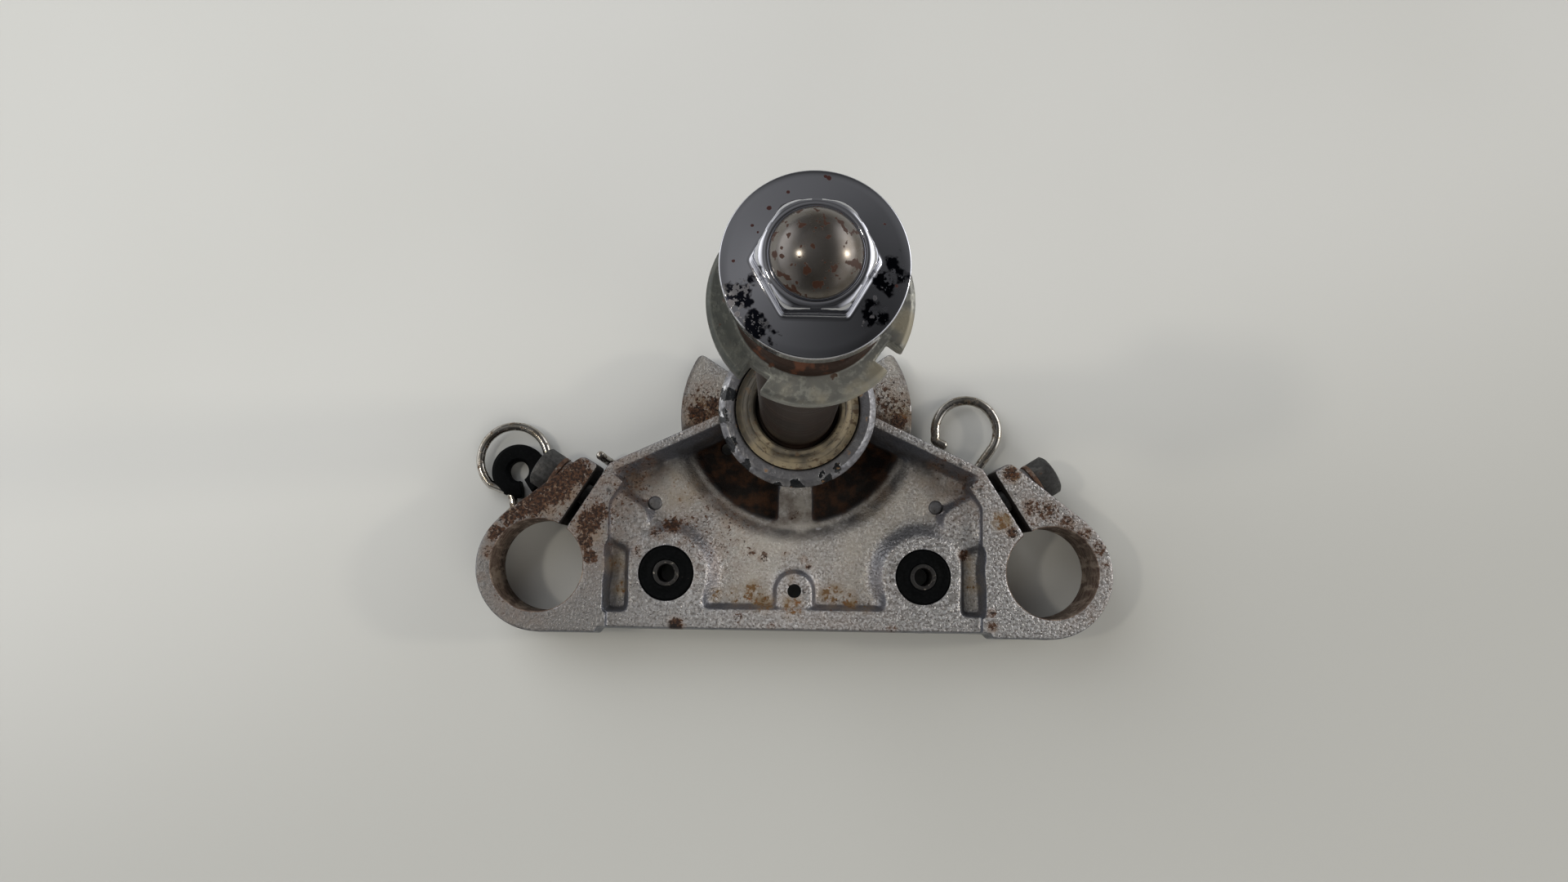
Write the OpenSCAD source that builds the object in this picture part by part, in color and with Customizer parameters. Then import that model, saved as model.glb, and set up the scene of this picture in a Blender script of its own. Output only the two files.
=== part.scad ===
// Lower triple clamp of a motorcycle fork with its steering stem.
// Millimetres. The origin is on the stem's axis, in the plane of the underside. +Y points to the rear.

/* [Fork clamps] */
// Distance between the two fork tubes
fork_spacing = 184.2; // [176:0.1:200]
// Distance from the stem's axis forward to the fork tubes
fork_offset = 57.1; // [54:0.1:62]
// Diameter of the fork tube
fork_d = 33; // [30:0.5:35]
// Thickness of the clamp's outer wall
clamp_wall = 6.3; // [5.5:0.1:8]
// Thickness of the clamp's wall on the side of the plate
collar_wall = 7.7; // [6.5:0.1:8.5]
// Height of the clamps
clamp_h = 24; // [22:0.5:30]
// Turn of the slit away from straight back
slit_turn = 32; // [28:1:36]
// Width of the slit
slit_w = 2.8; // [2:0.1:3.5]
// Length of the slit from the fork's centre
slit_l = 42.3; // [40:0.1:45]
// Length of the outer ear from the fork's centre
ear_l = 41.5; // [40:0.1:44]
// Taper of the outer ear
ear_taper = 20.3; // [16:0.1:24]
// How far the ear's side stands out past the clamp's round wall
ear_out = 0.4; // [0.2:0.1:1]
// Chamfer at the mouths of the fork bores
bore_chamfer = 0.5; // [0.2:0.1:1]

/* [Plate and walls] */
// Depth of the dished floor below the clamps' top
dish_depth = 8; // [7:0.5:10]
// Height of the plate's underside
plate_low = 8; // [6.5:0.5:9]
// Distance from the stem's axis to the top edge of the front bar
bar_front = 78.7; // [77:0.1:84]
// Width of the front bar's top
bar_w = 6.5; // [5:0.1:9]
// Drop from the clamps' top to the front bar's top
bar_drop = 2; // [0.5:0.5:4]
// Height of the front bar's lower edge
bar_low = 4; // [2:0.5:6]
// How far the parting line stands out on the front bar and the clamps
parting_out = 0.9; // [0.3:0.1:1.5]
// Width of the rear wall's top
wall_w = 3.2; // [2.5:0.1:5]
// Height of the rear wall's lower edge
wall_low = 6; // [6:0.5:7.5]
// Slope of the dish's sides, sideways for each millimetre down
dish_lean = 0.525; // [0.2:0.005:0.7]

/* [Hub and steering stop] */
// Wall of the hub around the stem
hub_wall = 9; // [7:0.5:11]
// Radius of the steering stop disc
stop_r = 43.4; // [41:0.1:46]
// Height of the disc's underside
stop_low = 2; // [1:0.5:4]
// Height of the disc's top
stop_top = 9; // [8.5:0.5:11]
// Angle of the stop ears above the cross axis
stop_angle = 35; // [28:1:42]
// How much further round the left ear of the steering stop reaches
left_stop_turn = 2.4; // [0:0.2:4]
// Radius of the pocket around the hub at the floor
pocket_r = 44; // [42:0.5:46]
// Slope of the pocket's side, sideways for each millimetre down
pocket_lean = 0.85; // [0.4:0.05:1]
// Width of the rib in front of the hub
rib_w = 11; // [8:0.5:14]
// Diameter of the drain hole in the left pocket
drain_d = 5; // [4:0.5:6]

/* [Bushing bosses] */
// Distance between the two rubber bushes
bush_spacing = 92.3; // [88:0.1:96]
// Distance from the stem's axis forward to the bushes
bush_offset = 59.3; // [58:0.1:61]
// Diameter of the rubber bush
bush_d = 20; // [18:0.5:22]
// Wall of the boss at its top
boss_wall = 4.3; // [3.5:0.1:5]
// Drop from the clamps' top to the boss's top
boss_drop = 2.5; // [2:0.5:5]
// Height of the boss's lower end
boss_low = 5; // [4:0.5:7]
// Slope of the boss's side, sideways for each millimetre down
boss_lean = 1.1; // [0.5:0.1:1.3]
// Outer diameter of the steel sleeve
sleeve_d = 9.3; // [8.5:0.1:11]
// Bore of the steel sleeve
sleeve_bore = 6.5; // [6:0.1:7]
// How far the sleeve stands out of the rubber
sleeve_proud = 0.4; // [0:0.1:1]

/* [Centre tab] */
// Distance from the stem's axis forward to the tapped hole
tab_offset = 65; // [63:0.5:67]
// Width of the tab
tab_w = 12.8; // [11:0.1:16]
// Drop from the clamps' top to the tab's top
tab_drop = 4; // [2:0.5:6]
// Diameter of the tapped hole
tab_hole_d = 5; // [4:0.5:6]

/* [Pinch bolts] */
// Distance from the fork's centre to the bolt's axis
bolt_reach = 30; // [28.5:0.5:31]
// Height of the bolt's axis
bolt_z = 13.5; // [13:0.5:15]
// Diameter of the bolt
bolt_d = 8; // [6:0.5:8]
// Length of the bolt under its head
bolt_l = 35; // [30:1:36]
// Width across the flats of the bolt's head
head_af = 13; // [11:0.5:13]
// Height of the bolt's head
head_h = 7; // [5.5:0.1:8]
// Distance from the slit's middle to the bolt's seat
seat_x = 12.8; // [12:0.1:14]
// Diameter of the washer
washer_d = 15; // [14:0.5:15]
// Thickness of the washer
washer_t = 1.6; // [1:0.1:2]
// Wall of the boss that the bolt screws into
thread_boss_wall = 3; // [2:0.5:3.5]
// Reach of that boss from the slit's middle
thread_boss_l = 24; // [23:0.5:27]

/* [Steering stem] */
// Diameter of the stem where it sits in the hub
stem_seat_d = 30; // [28:0.5:31]
// Step from the seat in to the stem's shaft
shaft_step = 1.5; // [1:0.1:2]
// Step from the shaft in to the thread for the ring nut
thread_step = 0.5; // [0.2:0.1:1.5]
// Step from that thread in to the neck that carries the upper yoke
neck_step = 2; // [1.5:0.1:3.5]
// Diameter of the thread for the cap nut
cap_thread_d = 14; // [12:0.5:15]
// Wall of the stem's shaft
stem_wall = 5.5; // [5:0.5:7]
// Height of the stem's top
stem_top = 229; // [215:0.5:240]
// Distance from the stem's top down to the end of the neck
neck_drop = 16; // [15:0.5:21]
// Distance from the stem's top down to the shoulder under the neck
shoulder_drop = 29; // [24:1:33]
// Length of the thread for the ring nut
ring_thread_l = 30; // [20:1:35]

/* [Lower bearing] */
// Wall of the bearing race
race_wall = 7; // [6.5:0.1:7.5]
// Height of the bearing race
race_h = 6; // [5:0.5:8]
// Distance from the race's bore to the circle that the balls run on
track_in = 5.6; // [5:0.1:6]
// Diameter of a bearing ball
ball_d = 6; // [5:0.5:6]
// Wall of the dust cup around the race
cup_wall = 6.3; // [5:0.1:8]
// Height of the dust cup
cup_h = 5.5; // [5:0.5:8]
// Thickness of the cup's floor
cup_t = 2; // [1.5:0.1:2.5]

/* [Ring nut] */
// Wall of the ring nut
ring_wall = 9.8; // [8:0.1:12]
// Thickness of the ring nut
ring_h = 7; // [6:0.5:9]
// Distance from the stem's top down to the ring nut's rim
ring_drop = 35.7; // [33:0.1:44]
// Wall of the raised middle of the ring nut
ring_boss_wall = 4; // [3:0.5:5]
// Height of the raised middle
ring_boss_h = 3; // [1:0.5:3]
// Width of the slots for the hook spanner
slot_w = 5.5; // [4:0.5:7]
// Depth of those slots
slot_depth = 4; // [2:0.5:4.5]
// Number of slots
slots = 4; // [4:1:6]
// Turn of the first slot
slot_turn = 55; // [45:1:65]

/* [Cap nut] */
// Diameter of the nut's flange
flange_d = 37; // [34:0.2:40]
// Thickness of the flange's rim
flange_t = 5.5; // [3:0.5:6]
// Distance from the stem's top down to the flange's upper edge
flange_drop = 6.3; // [5:0.1:8]
// Width across the flats of the hexagon
nut_af = 21; // [20:0.5:23]
// Height of the hexagon above the flange's edge
nut_h = 7.3; // [6:0.1:9]
// Diameter of the dome on the hexagon
dome_d = 17.8; // [15:0.2:18]
// Height of the dome
dome_h = 5.8; // [4:0.1:7]

/* [Wire guides] */
// Diameter of the wire
wire_d = 3.5; // [2.5:0.1:3.5]
// Radius of the left wire loop
left_loop_r = 12.85; // [11.5:0.05:13.2]
// Radius of the right wire loop
right_loop_r = 11.7; // [10.5:0.1:12.2]
// Distance between the two rivets
rivet_spacing = 102.6; // [101:0.2:104]
// Distance from the stem's axis forward to the rivets
rivet_offset = 34; // [33:0.2:35]
// Diameter of the rivets
rivet_d = 5.2; // [4.5:0.1:6]
// Diameter of the flat eyes at the wires' ends
eye_d = 11; // [10:0.5:12]
// Thickness of the eyes
eye_t = 2.4; // [2:0.1:2.5]
// Outer diameter of the rubber hose ring
hose_ring_d = 20.2; // [18:0.2:21]
// Inner diameter of the rubber hose ring
hose_ring_bore = 7.6; // [6:0.2:9]
// Height of the rubber hose ring
hose_ring_h = 5.9; // [5.5:0.1:6]

/* [Hidden] */
$fn = 96;

// Gap between pieces that are pressed or screwed together
press_gap = 0.02;
// Gap between the wires or rubber and what they lie against
slip_gap = 0.15;
// Reach of a cut past the face that it opens
past = 1;

// The hub is level with the clamps and the rear walls
hub_top = clamp_h;
floor_z = clamp_h - dish_depth;
bar_top = clamp_h - bar_drop;
boss_top = clamp_h - boss_drop;
tab_top = clamp_h - tab_drop;
thread_boss_top = bolt_z + bolt_d / 2 + thread_boss_wall;

hub_r = stem_seat_d / 2 + hub_wall;
stem_d = stem_seat_d - 2 * shaft_step;
ring_thread_d = stem_d - 2 * thread_step;
neck_d = ring_thread_d - 2 * neck_step;
stem_bore_d = stem_d - 2 * stem_wall;
neck_top = stem_top - neck_drop;
shoulder_z = stem_top - shoulder_drop;
ring_thread_z = shoulder_z - ring_thread_l;
race_d = stem_seat_d + 2 * race_wall;
track_r = stem_seat_d / 2 + track_in;
cup_d = race_d + 2 * cup_wall;
ring_d = ring_thread_d + 2 * ring_wall;
ring_boss_d = ring_thread_d + 2 * ring_boss_wall;
ring_top = stem_top - ring_drop;
flange_top = stem_top - flange_drop;

// Play around the washer in its spot face
spot_gap = 0.4;

// Height to which the clamps and walls are built before their tops are cut level
rough_h = clamp_h + past;

fork_x = fork_spacing / 2;
fork_r = fork_d / 2;
outer_r = fork_r + clamp_wall;
collar_r = fork_r + collar_wall;
// The outer wall's circle lies a little inward and forward of the fork's centre
outer_shift = [-1.1, -0.6];
// Half the width of the clamp's foot, which squares off its front
foot_reach = 21.6;

function unit(v) = v / norm(v);

// Points of the arc that rounds the corner b between a and c with radius r, in the plane or in space
function bend(a, b, c, r, steps = 5) =
    let (
        u = unit(a - b),
        v = unit(c - b),
        half = acos(u * v) / 2,
        reach = r / tan(half),
        centre = b + unit(u + v) * r / sin(half),
        first = b + u * reach - centre,
        last = b + v * reach - centre,
        sweep = 180 - 2 * half
    )
    [for (i = [0:steps]) let (t = i / steps)
        centre + (first * sin((1 - t) * sweep) + last * sin(t * sweep)) / sin(sweep)];

// Closed outline from corners [x, y, radius]
function outline(corners) =
    let (n = len(corners), flat = [for (p = corners) [p.x, p.y]])
    [for (i = [0:n - 1]) each
        corners[i].z == 0 ? [flat[i]] : bend(flat[(i + n - 1) % n], flat[i], flat[(i + 1) % n], corners[i].z)];

// Open path in space from corners [x, y, z, radius]
function wire_path(corners) =
    let (n = len(corners), flat = [for (p = corners) [p[0], p[1], p[2]]])
    [for (i = [0:n - 1]) each
        corners[i][3] == 0 ? [flat[i]] : bend(flat[i - 1], flat[i], flat[i + 1], corners[i][3], 4)];

// Outline grown sideways by d
function grown(points, d) =
    let (n = len(points))
    [for (i = [0:n - 1])
        let (
            a = unit(points[i] - points[(i + n - 1) % n]),
            b = unit(points[(i + 1) % n] - points[i]),
            out = [a.y + b.y, -a.x - b.x]
        )
        points[i] + out * d / (1 + a * b)];

function mirrored(points) = [for (i = [len(points) - 1:-1:0]) [-points[i].x, points[i].y, points[i].z]];

// Solid between two outlines that have the same number of points
module between(low_points, high_points, low, high) {
    n = len(low_points);
    polyhedron(
        points = concat([for (p = low_points) [p.x, p.y, low]], [for (p = high_points) [p.x, p.y, high]]),
        faces = concat(
            [[for (i = [0:n - 1]) i]],
            [[for (i = [n - 1:-1:0]) n + i]],
            [for (i = [0:n - 1]) let (j = (i + 1) % n) each [[i, n + i, n + j], [i, n + j, j]]]
        )
    );
}

// Cast lug whose sides spread by the given amount towards its foot
module drafted(points, low, high, spread) {
    between(grown(points, spread), points, low, high);
}

// Round bar along a path, with its ends rounded off
module wire(path, d, sides = 12) {
    n = len(path);
    function heading(i) = unit(path[min(i + 1, n - 1)] - path[max(i - 1, 0)]);
    function ring(centre, along, r) =
        let (side = unit(cross(along, [0, 0, 1])), up = cross(side, along))
        [for (k = [0:sides - 1]) centre + r * (cos(360 * k / sides) * side + sin(360 * k / sides) * up)];
    rings = concat(
        [ring(path[0] - heading(0) * d * 0.2, heading(0), d * 0.34)],
        [for (i = [0:n - 1]) ring(path[i], heading(i), d / 2)],
        [ring(path[n - 1] + heading(n - 1) * d * 0.2, heading(n - 1), d * 0.34)]
    );
    last = len(rings) - 1;
    polyhedron(
        points = [for (r = rings) each r],
        faces = concat(
            [[for (k = [sides - 1:-1:0]) k]],
            [[for (k = [0:sides - 1]) last * sides + k]],
            [for (i = [0:last - 1]) for (k = [0:sides - 1])
                let (a = i * sides + k, b = i * sides + (k + 1) % sides)
                each [[a, b, b + sides], [a, b + sides, a + sides]]]
        )
    );
}

module both_sides() {
    children();
    mirror([1, 0, 0]) children();
}

// Frame of the right clamp: +Y along the slit, +X towards the bolt's head
module at_fork() {
    translate([fork_x, -fork_offset, 0]) children();
}
module at_slit() {
    at_fork() rotate([0, 0, slit_turn]) children();
}
// Frame of the right pinch bolt: +Z along the bolt towards its head, from the middle of the slit
module at_bolt() {
    at_slit() translate([0, bolt_reach, bolt_z]) rotate([0, 90, 0]) children();
}
module at_bush() {
    translate([bush_spacing / 2, -bush_offset, 0]) children();
}
module at_rivet() {
    translate([rivet_spacing / 2, -rivet_offset, 0]) children();
}

// A place given in the clamp's frame, in the yoke's own
function from_slit(p) = [
    fork_x + p.x * cos(slit_turn) - p.y * sin(slit_turn),
    -fork_offset + p.x * sin(slit_turn) + p.y * cos(slit_turn)
];

// Rear wall: a straight line from the end of the slit to its root beside the hub
slit_end = from_slit([0, slit_l]);
wall_root = [hub_r + 5.5, -2.5];
wall_slope = (wall_root.y - slit_end.y) / (slit_end.x - wall_root.x);
function wall_y(x, inset) = slit_end.y + (slit_end.x - x) * wall_slope - inset * sqrt(1 + pow(wall_slope, 2));

bar_rear = bar_front - bar_w;
apex_x = 2;

plate_half = [
    [fork_x - foot_reach + 3, -bar_front, 0],
    [fork_x, -fork_offset, 0],
    [slit_end.x, slit_end.y, 0],
    [apex_x, wall_y(apex_x, 0), 0]
];
plate_outline = outline(concat(plate_half, mirrored(plate_half)));

// Outline between the front bar, the clamps and the rear walls, set back from the bar and the walls
dish_x = fork_x - collar_r - 0.9;
function dish_outline(from_bar, from_wall) =
    let (
        half = [
            [dish_x, -bar_rear + from_bar, 0],
            [dish_x, wall_y(dish_x, from_wall), 0],
            [apex_x, wall_y(apex_x, from_wall), 0]
        ]
    )
    outline(concat(half, mirrored(half)));

// The dish's outline at a height, with its sides leaning inwards on the way down
function dish_at(z) = dish_outline((clamp_h - z) * 0.3, wall_w + (clamp_h - z) * dish_lean);

module dish_cut() {
    between(dish_at(floor_z), dish_at(clamp_h + past), floor_z, clamp_h + past);
}

module pocket_cut() {
    foot = wall_w + (clamp_h - floor_z) * dish_lean;
    intersection() {
        between(dish_outline(3, foot + 0.6), dish_outline(3, foot - 0.1), stop_top, floor_z + past);
        translate([0, 0, stop_top])
            cylinder(
                r1 = pocket_r - (floor_z - stop_top) * pocket_lean,
                r2 = pocket_r + past * pocket_lean,
                h = floor_z - stop_top + past
            );
    }
}

// Plate with its rear walls and front bar, and their skirts below
module plate() {
    skirt_w = wall_w + 1.2;
    rear_band = [
        slit_end,
        [apex_x, wall_y(apex_x, 0)],
        [apex_x, wall_y(apex_x, skirt_w)],
        [slit_end.x - skirt_w, wall_y(slit_end.x - skirt_w, skirt_w)]
    ];
    front_half = [[fork_x - foot_reach + 3, -bar_front, 0], [fork_x - foot_reach + 3, -bar_rear, 0]];
    front_band = outline(concat(front_half, mirrored(front_half)));
    parting_z = (bar_low + bar_top) / 2;
    difference() {
        union() {
            translate([0, 0, plate_low])
                linear_extrude(rough_h - plate_low) polygon(plate_outline);
            both_sides() translate([0, 0, wall_low])
                linear_extrude(plate_low - wall_low + past) polygon(rear_band);
            drafted(front_band, parting_z, bar_top, parting_out);
            between(front_band, grown(front_band, parting_out), bar_low, parting_z);
        }
        dish_cut();
        translate([-dish_x, -bar_front - 5, bar_top])
            cube([2 * dish_x, bar_w + 8, clamp_h]);
    }
}

// Steering stop: a round flange, cut back at the rear to the hub
module stop_disc() {
    step = 5;
    left_angle = stop_angle - left_stop_turn;
    from = -180 - left_angle;
    arc = [for (a = [from + step:step:stop_angle - step]) [stop_r * cos(a), stop_r * sin(a), 0]];
    tip = [stop_r * cos(stop_angle), stop_r * sin(stop_angle), 2];
    root = [hub_r * 0.8 * cos(stop_angle), hub_r * 0.8 * sin(stop_angle), 0];
    left_tip = [-stop_r * cos(left_angle), stop_r * sin(left_angle), 2];
    left_root = [-hub_r * 0.8 * cos(left_angle), hub_r * 0.8 * sin(left_angle), 0];
    translate([0, 0, stop_low]) linear_extrude(stop_top - stop_low)
        polygon(outline(concat([left_root, left_tip], arc, [tip, root])));
}

// Sloped boss around a rubber bush, squared off towards the front bar
module bush_boss() {
    top_r = bush_d / 2 + boss_wall;
    rise = boss_top - floor_z;
    square_w = top_r - 1;
    front = bar_rear + 1 - bush_offset;
    corner = [[-square_w, -front, 0], [square_w, -front, 0], [square_w, 0, 0], [-square_w, 0, 0]];
    at_bush() {
        translate([0, 0, floor_z]) cylinder(r1 = top_r + rise * boss_lean, r2 = top_r, h = rise);
        drafted(outline(corner), floor_z, boss_top, rise * 0.45);
        translate([0, 0, boss_low]) cylinder(r = top_r, h = floor_z - boss_low);
    }
}

// Channel at floor level between the boss and the clamp
module trough_cut() {
    left = bush_spacing / 2 + bush_d / 2 + boss_wall + 0.6;
    right = dish_x - 0.3;
    lean = 0.2;
    rise = clamp_h - floor_z;
    low = [[left, -bar_rear + 0.4, 0], [right, -bar_rear + 0.4, 0], [right, -49, 2], [left, -49, 2]];
    between(outline(low), grown(outline(low), rise * lean), floor_z, clamp_h);
}

// Outer wall, foot and ear of a clamp, up to the middle of the slit
module clamp_outside() {
    centre = [outer_shift.x * cos(slit_turn) + outer_shift.y * sin(slit_turn),
        -outer_shift.x * sin(slit_turn) + outer_shift.y * cos(slit_turn)];
    edge = outer_r + ear_out;
    normal = [cos(ear_taper), sin(ear_taper)];
    near = centre + edge * normal;
    far_x = near.x - (ear_l - near.y) * tan(ear_taper);
    ear = [[0, near.y, 0], [near.x, near.y, 0], [far_x, ear_l, 3], [0, ear_l, 0]];
    foot_y = outer_shift.y - outer_r + 0.1;
    foot = [[-foot_reach, foot_y], [outer_shift.x, foot_y], [outer_shift.x, 0], [-foot_reach, 0]];
    parting_z = clamp_h / 2;
    wide_r = outer_r + parting_out;
    at_fork() translate([outer_shift.x, outer_shift.y, 0]) {
        cylinder(r1 = outer_r, r2 = wide_r, h = parting_z);
        translate([0, 0, parting_z]) cylinder(r1 = wide_r, r2 = outer_r, h = rough_h - parting_z);
    }
    at_fork() {
        between(foot, grown(foot, parting_out), 0, parting_z);
        drafted(foot, parting_z, rough_h, parting_out);
    }
    at_slit() translate([0, 0, wall_low]) linear_extrude(rough_h - wall_low) polygon(outline(ear));
    at_bolt() cylinder(d = washer_d - 0.4, h = seat_x);
}

// Collar of a clamp on the plate's side, with the rib that runs along the slit to the rear wall
module clamp_inside() {
    rise = clamp_h - floor_z;
    side = [[-9, 16, 0], [0, 16, 0], [0, slit_l, 0], [-9, slit_l - 1, 0]];
    intersection() {
        linear_extrude(rough_h) polygon(plate_outline);
        at_fork() union() {
            cylinder(r = collar_r, h = rough_h);
            translate([0, 0, floor_z]) cylinder(r1 = collar_r + 2.3, r2 = collar_r, h = rise);
        }
    }
    intersection() {
        translate([0, 0, wall_low]) linear_extrude(rough_h) polygon(plate_outline);
        at_slit() drafted(outline(side), floor_z - 4, rough_h, 2.5);
    }
}

// Boss that the pinch bolt screws into
module thread_boss() {
    half = thread_boss_top - bolt_z;
    y0 = bolt_reach - half - 0.5;
    y1 = bolt_reach + half + 0.5;
    top = [[-thread_boss_l, y0, 5], [0, y0, 0], [0, y1, 0], [-thread_boss_l, y1, 5]];
    intersection() {
        translate([0, 0, bolt_z - half]) linear_extrude(clamp_h) polygon(plate_outline);
        at_slit() union() {
            drafted(outline(top), floor_z - 0.5, thread_boss_top, 3.5);
            translate([0, bolt_reach, bolt_z]) rotate([0, -90, 0]) cylinder(r = half, h = thread_boss_l);
        }
    }
}

// Threaded tab in the middle of the front bar
module centre_tab() {
    half = tab_w / 2;
    reach = bar_rear - tab_offset + 1;
    translate([0, -tab_offset, 0]) {
        translate([0, 0, floor_z]) cylinder(r1 = half + 1.5, r2 = half, h = tab_top - floor_z);
        drafted([[-half, -reach], [half, -reach], [half, 0], [-half, 0]], floor_z, tab_top, 1.5);
    }
}

// Rib from the hub across the pocket to the floor
module front_rib() {
    half = rib_w / 2;
    y0 = -pocket_r - 1;
    y1 = -hub_r + 3;
    drafted([[-half, y0], [half, y0], [half, y1], [-half, y1]], stop_top - 0.5, floor_z, 1.5);
}

module fork_bore() {
    at_fork() {
        translate([0, 0, -past]) cylinder(r = fork_r, h = clamp_h + 2 * past);
        translate([0, 0, clamp_h - bore_chamfer])
            cylinder(r1 = fork_r, r2 = fork_r + 2 * bore_chamfer, h = 2 * bore_chamfer);
        translate([0, 0, -bore_chamfer])
            cylinder(r1 = fork_r + 2 * bore_chamfer, r2 = fork_r, h = 2 * bore_chamfer);
    }
    at_slit() translate([-slit_w / 2, 0, -past]) cube([slit_w, slit_l + 5, clamp_h + 2 * past]);
}

module bolt_hole() {
    tip = bolt_l - seat_x - washer_t + 1.2;
    at_bolt() {
        cylinder(d = bolt_d + 0.6, h = seat_x + past);
        translate([0, 0, seat_x]) cylinder(d = washer_d + 2 * spot_gap, h = washer_t + head_h);
        translate([0, 0, -tip]) cylinder(d = bolt_d + 2 * press_gap, h = tip + past);
    }
}

module lower_yoke() color("#b9b8bc") {
    difference() {
        union() {
            difference() {
                union() {
                    plate();
                    both_sides() bush_boss();
                }
                both_sides() trough_cut();
                pocket_cut();
            }
            stop_disc();
            front_rib();
            cylinder(r = hub_r, h = rough_h);
            centre_tab();
            both_sides() {
                clamp_outside();
                clamp_inside();
                thread_boss();
            }
        }
        both_sides() {
            fork_bore();
            bolt_hole();
            at_bush() translate([0, 0, -past]) cylinder(d = bush_d, h = clamp_h);
            at_rivet() cylinder(d = rivet_d, h = clamp_h);
        }
        translate([-fork_spacing, -fork_spacing, clamp_h])
            cube([2 * fork_spacing, 2 * fork_spacing, 2 * (rough_h - clamp_h)]);
        translate([0, 0, -past]) cylinder(d = stem_seat_d, h = rough_h + 2 * past);
        translate([0, -tab_offset, -past]) cylinder(d = tab_hole_d, h = clamp_h);
        translate([-hub_r - 1.6, -12.6, -past]) cylinder(d = drain_d, h = clamp_h);
    }
}

module steering_stem() color("#8b8078") {
    seat = stem_seat_d / 2 - press_gap;
    shaft = stem_d / 2;
    thread = ring_thread_d / 2 - press_gap;
    neck = neck_d / 2;
    top = cap_thread_d / 2 - press_gap;
    bore = stem_bore_d / 2;
    race_top = hub_top + cup_t + race_h;
    rotate_extrude() polygon([
        [bore, 0], [seat - 1, 0], [seat, 1], [seat, race_top - 3], [shaft, race_top - 2.5],
        [shaft, ring_thread_z - 1], [thread, ring_thread_z], [thread, shoulder_z - 1], [thread - 1, shoulder_z],
        [neck, shoulder_z + 1], [neck, neck_top - 1], [neck - 1, neck_top], [top, neck_top],
        [top, stem_top - 1], [top - 1, stem_top], [0, stem_top], [0, shoulder_z - 5], [bore, shoulder_z - 5 - bore / 2]
    ]);
}

module bearing_dust_cup() color("#a9a8a6") {
    inner = stem_seat_d / 2;
    outer = cup_d / 2;
    rim = race_d / 2 + 0.5;
    top = hub_top + cup_h;
    rotate_extrude() polygon([
        [inner, hub_top], [outer - 1.5, hub_top], [outer, hub_top + 1.5], [outer, top - 2.3],
        [outer - 2.3, top], [rim + 0.4, top], [rim, top - 0.4], [rim, hub_top + cup_t], [inner, hub_top + cup_t]
    ]);
}

module lower_bearing_race() color("#77706a") {
    base = hub_top + cup_t;
    top = base + race_h;
    inner = stem_seat_d / 2;
    outer = race_d / 2;
    lip = track_r - ball_d / 2 + 0.6;
    difference() {
        translate([0, 0, base]) rotate_extrude() polygon([
            [inner, 0], [outer, 0], [outer, race_h * 0.5], [outer - 0.6, race_h * 0.5 + 0.6],
            [lip, race_h], [inner + 0.8, race_h], [inner, race_h - 0.8]
        ]);
        translate([0, 0, top - 0.4]) rotate_extrude() translate([track_r, 0]) circle(d = ball_d);
    }
}

module stem_ring_nut() color("#8d8a84") {
    bore = ring_thread_d / 2;
    outer = ring_d / 2;
    boss = ring_boss_d / 2;
    low = ring_top - ring_h;
    difference() {
        rotate_extrude() polygon([
            [bore, low], [outer - 1, low], [outer, low + 1], [outer, ring_top - 1], [outer - 1, ring_top],
            [boss, ring_top], [boss - 1, ring_top + ring_boss_h], [bore, ring_top + ring_boss_h]
        ]);
        for (i = [0:slots - 1]) rotate([0, 0, slot_turn + i * 360 / slots])
            translate([outer - slot_depth, -slot_w / 2, low - past])
                cube([slot_depth + past, slot_w, ring_h + 2 * past]);
    }
}

module stem_cap_nut() color("#c3c4c6") {
    flange = flange_d / 2;
    low = flange_top - flange_t;
    hex_top = flange_top + nut_h;
    corner = nut_af / 2 / cos(30);
    groove = dome_d / 2;
    sphere_r = (pow(groove, 2) + pow(dome_h, 2)) / (2 * dome_h);
    difference() {
        union() {
            rotate_extrude() polygon([
                [0, low], [flange - 0.8, low], [flange, low + 0.8], [flange, flange_top - 0.8],
                [flange - 0.6, flange_top], [nut_af / 2 - 0.5, flange_top + 1.6], [0, flange_top + 1.6]
            ]);
            intersection() {
                translate([0, 0, flange_top]) cylinder(r = corner, h = nut_h, $fn = 6);
                rotate_extrude() polygon([
                    [0, low], [corner + 1, low], [corner + 1, hex_top - (corner + 1 - nut_af / 2 + 0.3) * 0.6],
                    [nut_af / 2 - 0.3, hex_top], [0, hex_top]
                ]);
            }
            intersection() {
                translate([0, 0, hex_top + dome_h - sphere_r]) sphere(r = sphere_r);
                translate([0, 0, hex_top - 0.5]) cylinder(r = groove, h = dome_h + 1);
            }
        }
        translate([0, 0, low - past]) cylinder(d = cap_thread_d, h = stem_top + 1 - low + past);
    }
}

module pinch_bolts() color("#4e4c4b") {
    corner = head_af / 2 / cos(30);
    both_sides() at_bolt() translate([0, 0, seat_x + washer_t]) {
        translate([0, 0, -bolt_l]) cylinder(d = bolt_d, h = bolt_l + head_h / 2);
        intersection() {
            rotate([0, 0, 30]) cylinder(r = corner, h = head_h, $fn = 6);
            rotate_extrude() polygon([
                [0, 0], [corner + 1, 0], [corner + 1, head_h - 1.3], [head_af / 2 - 0.3, head_h], [0, head_h]
            ]);
        }
    }
}

module pinch_washers() color("#5b4a40") {
    both_sides() at_bolt() translate([0, 0, seat_x]) difference() {
        cylinder(d = washer_d, h = washer_t);
        translate([0, 0, -past]) cylinder(d = bolt_d + 0.5, h = washer_t + 2 * past);
    }
}

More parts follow.
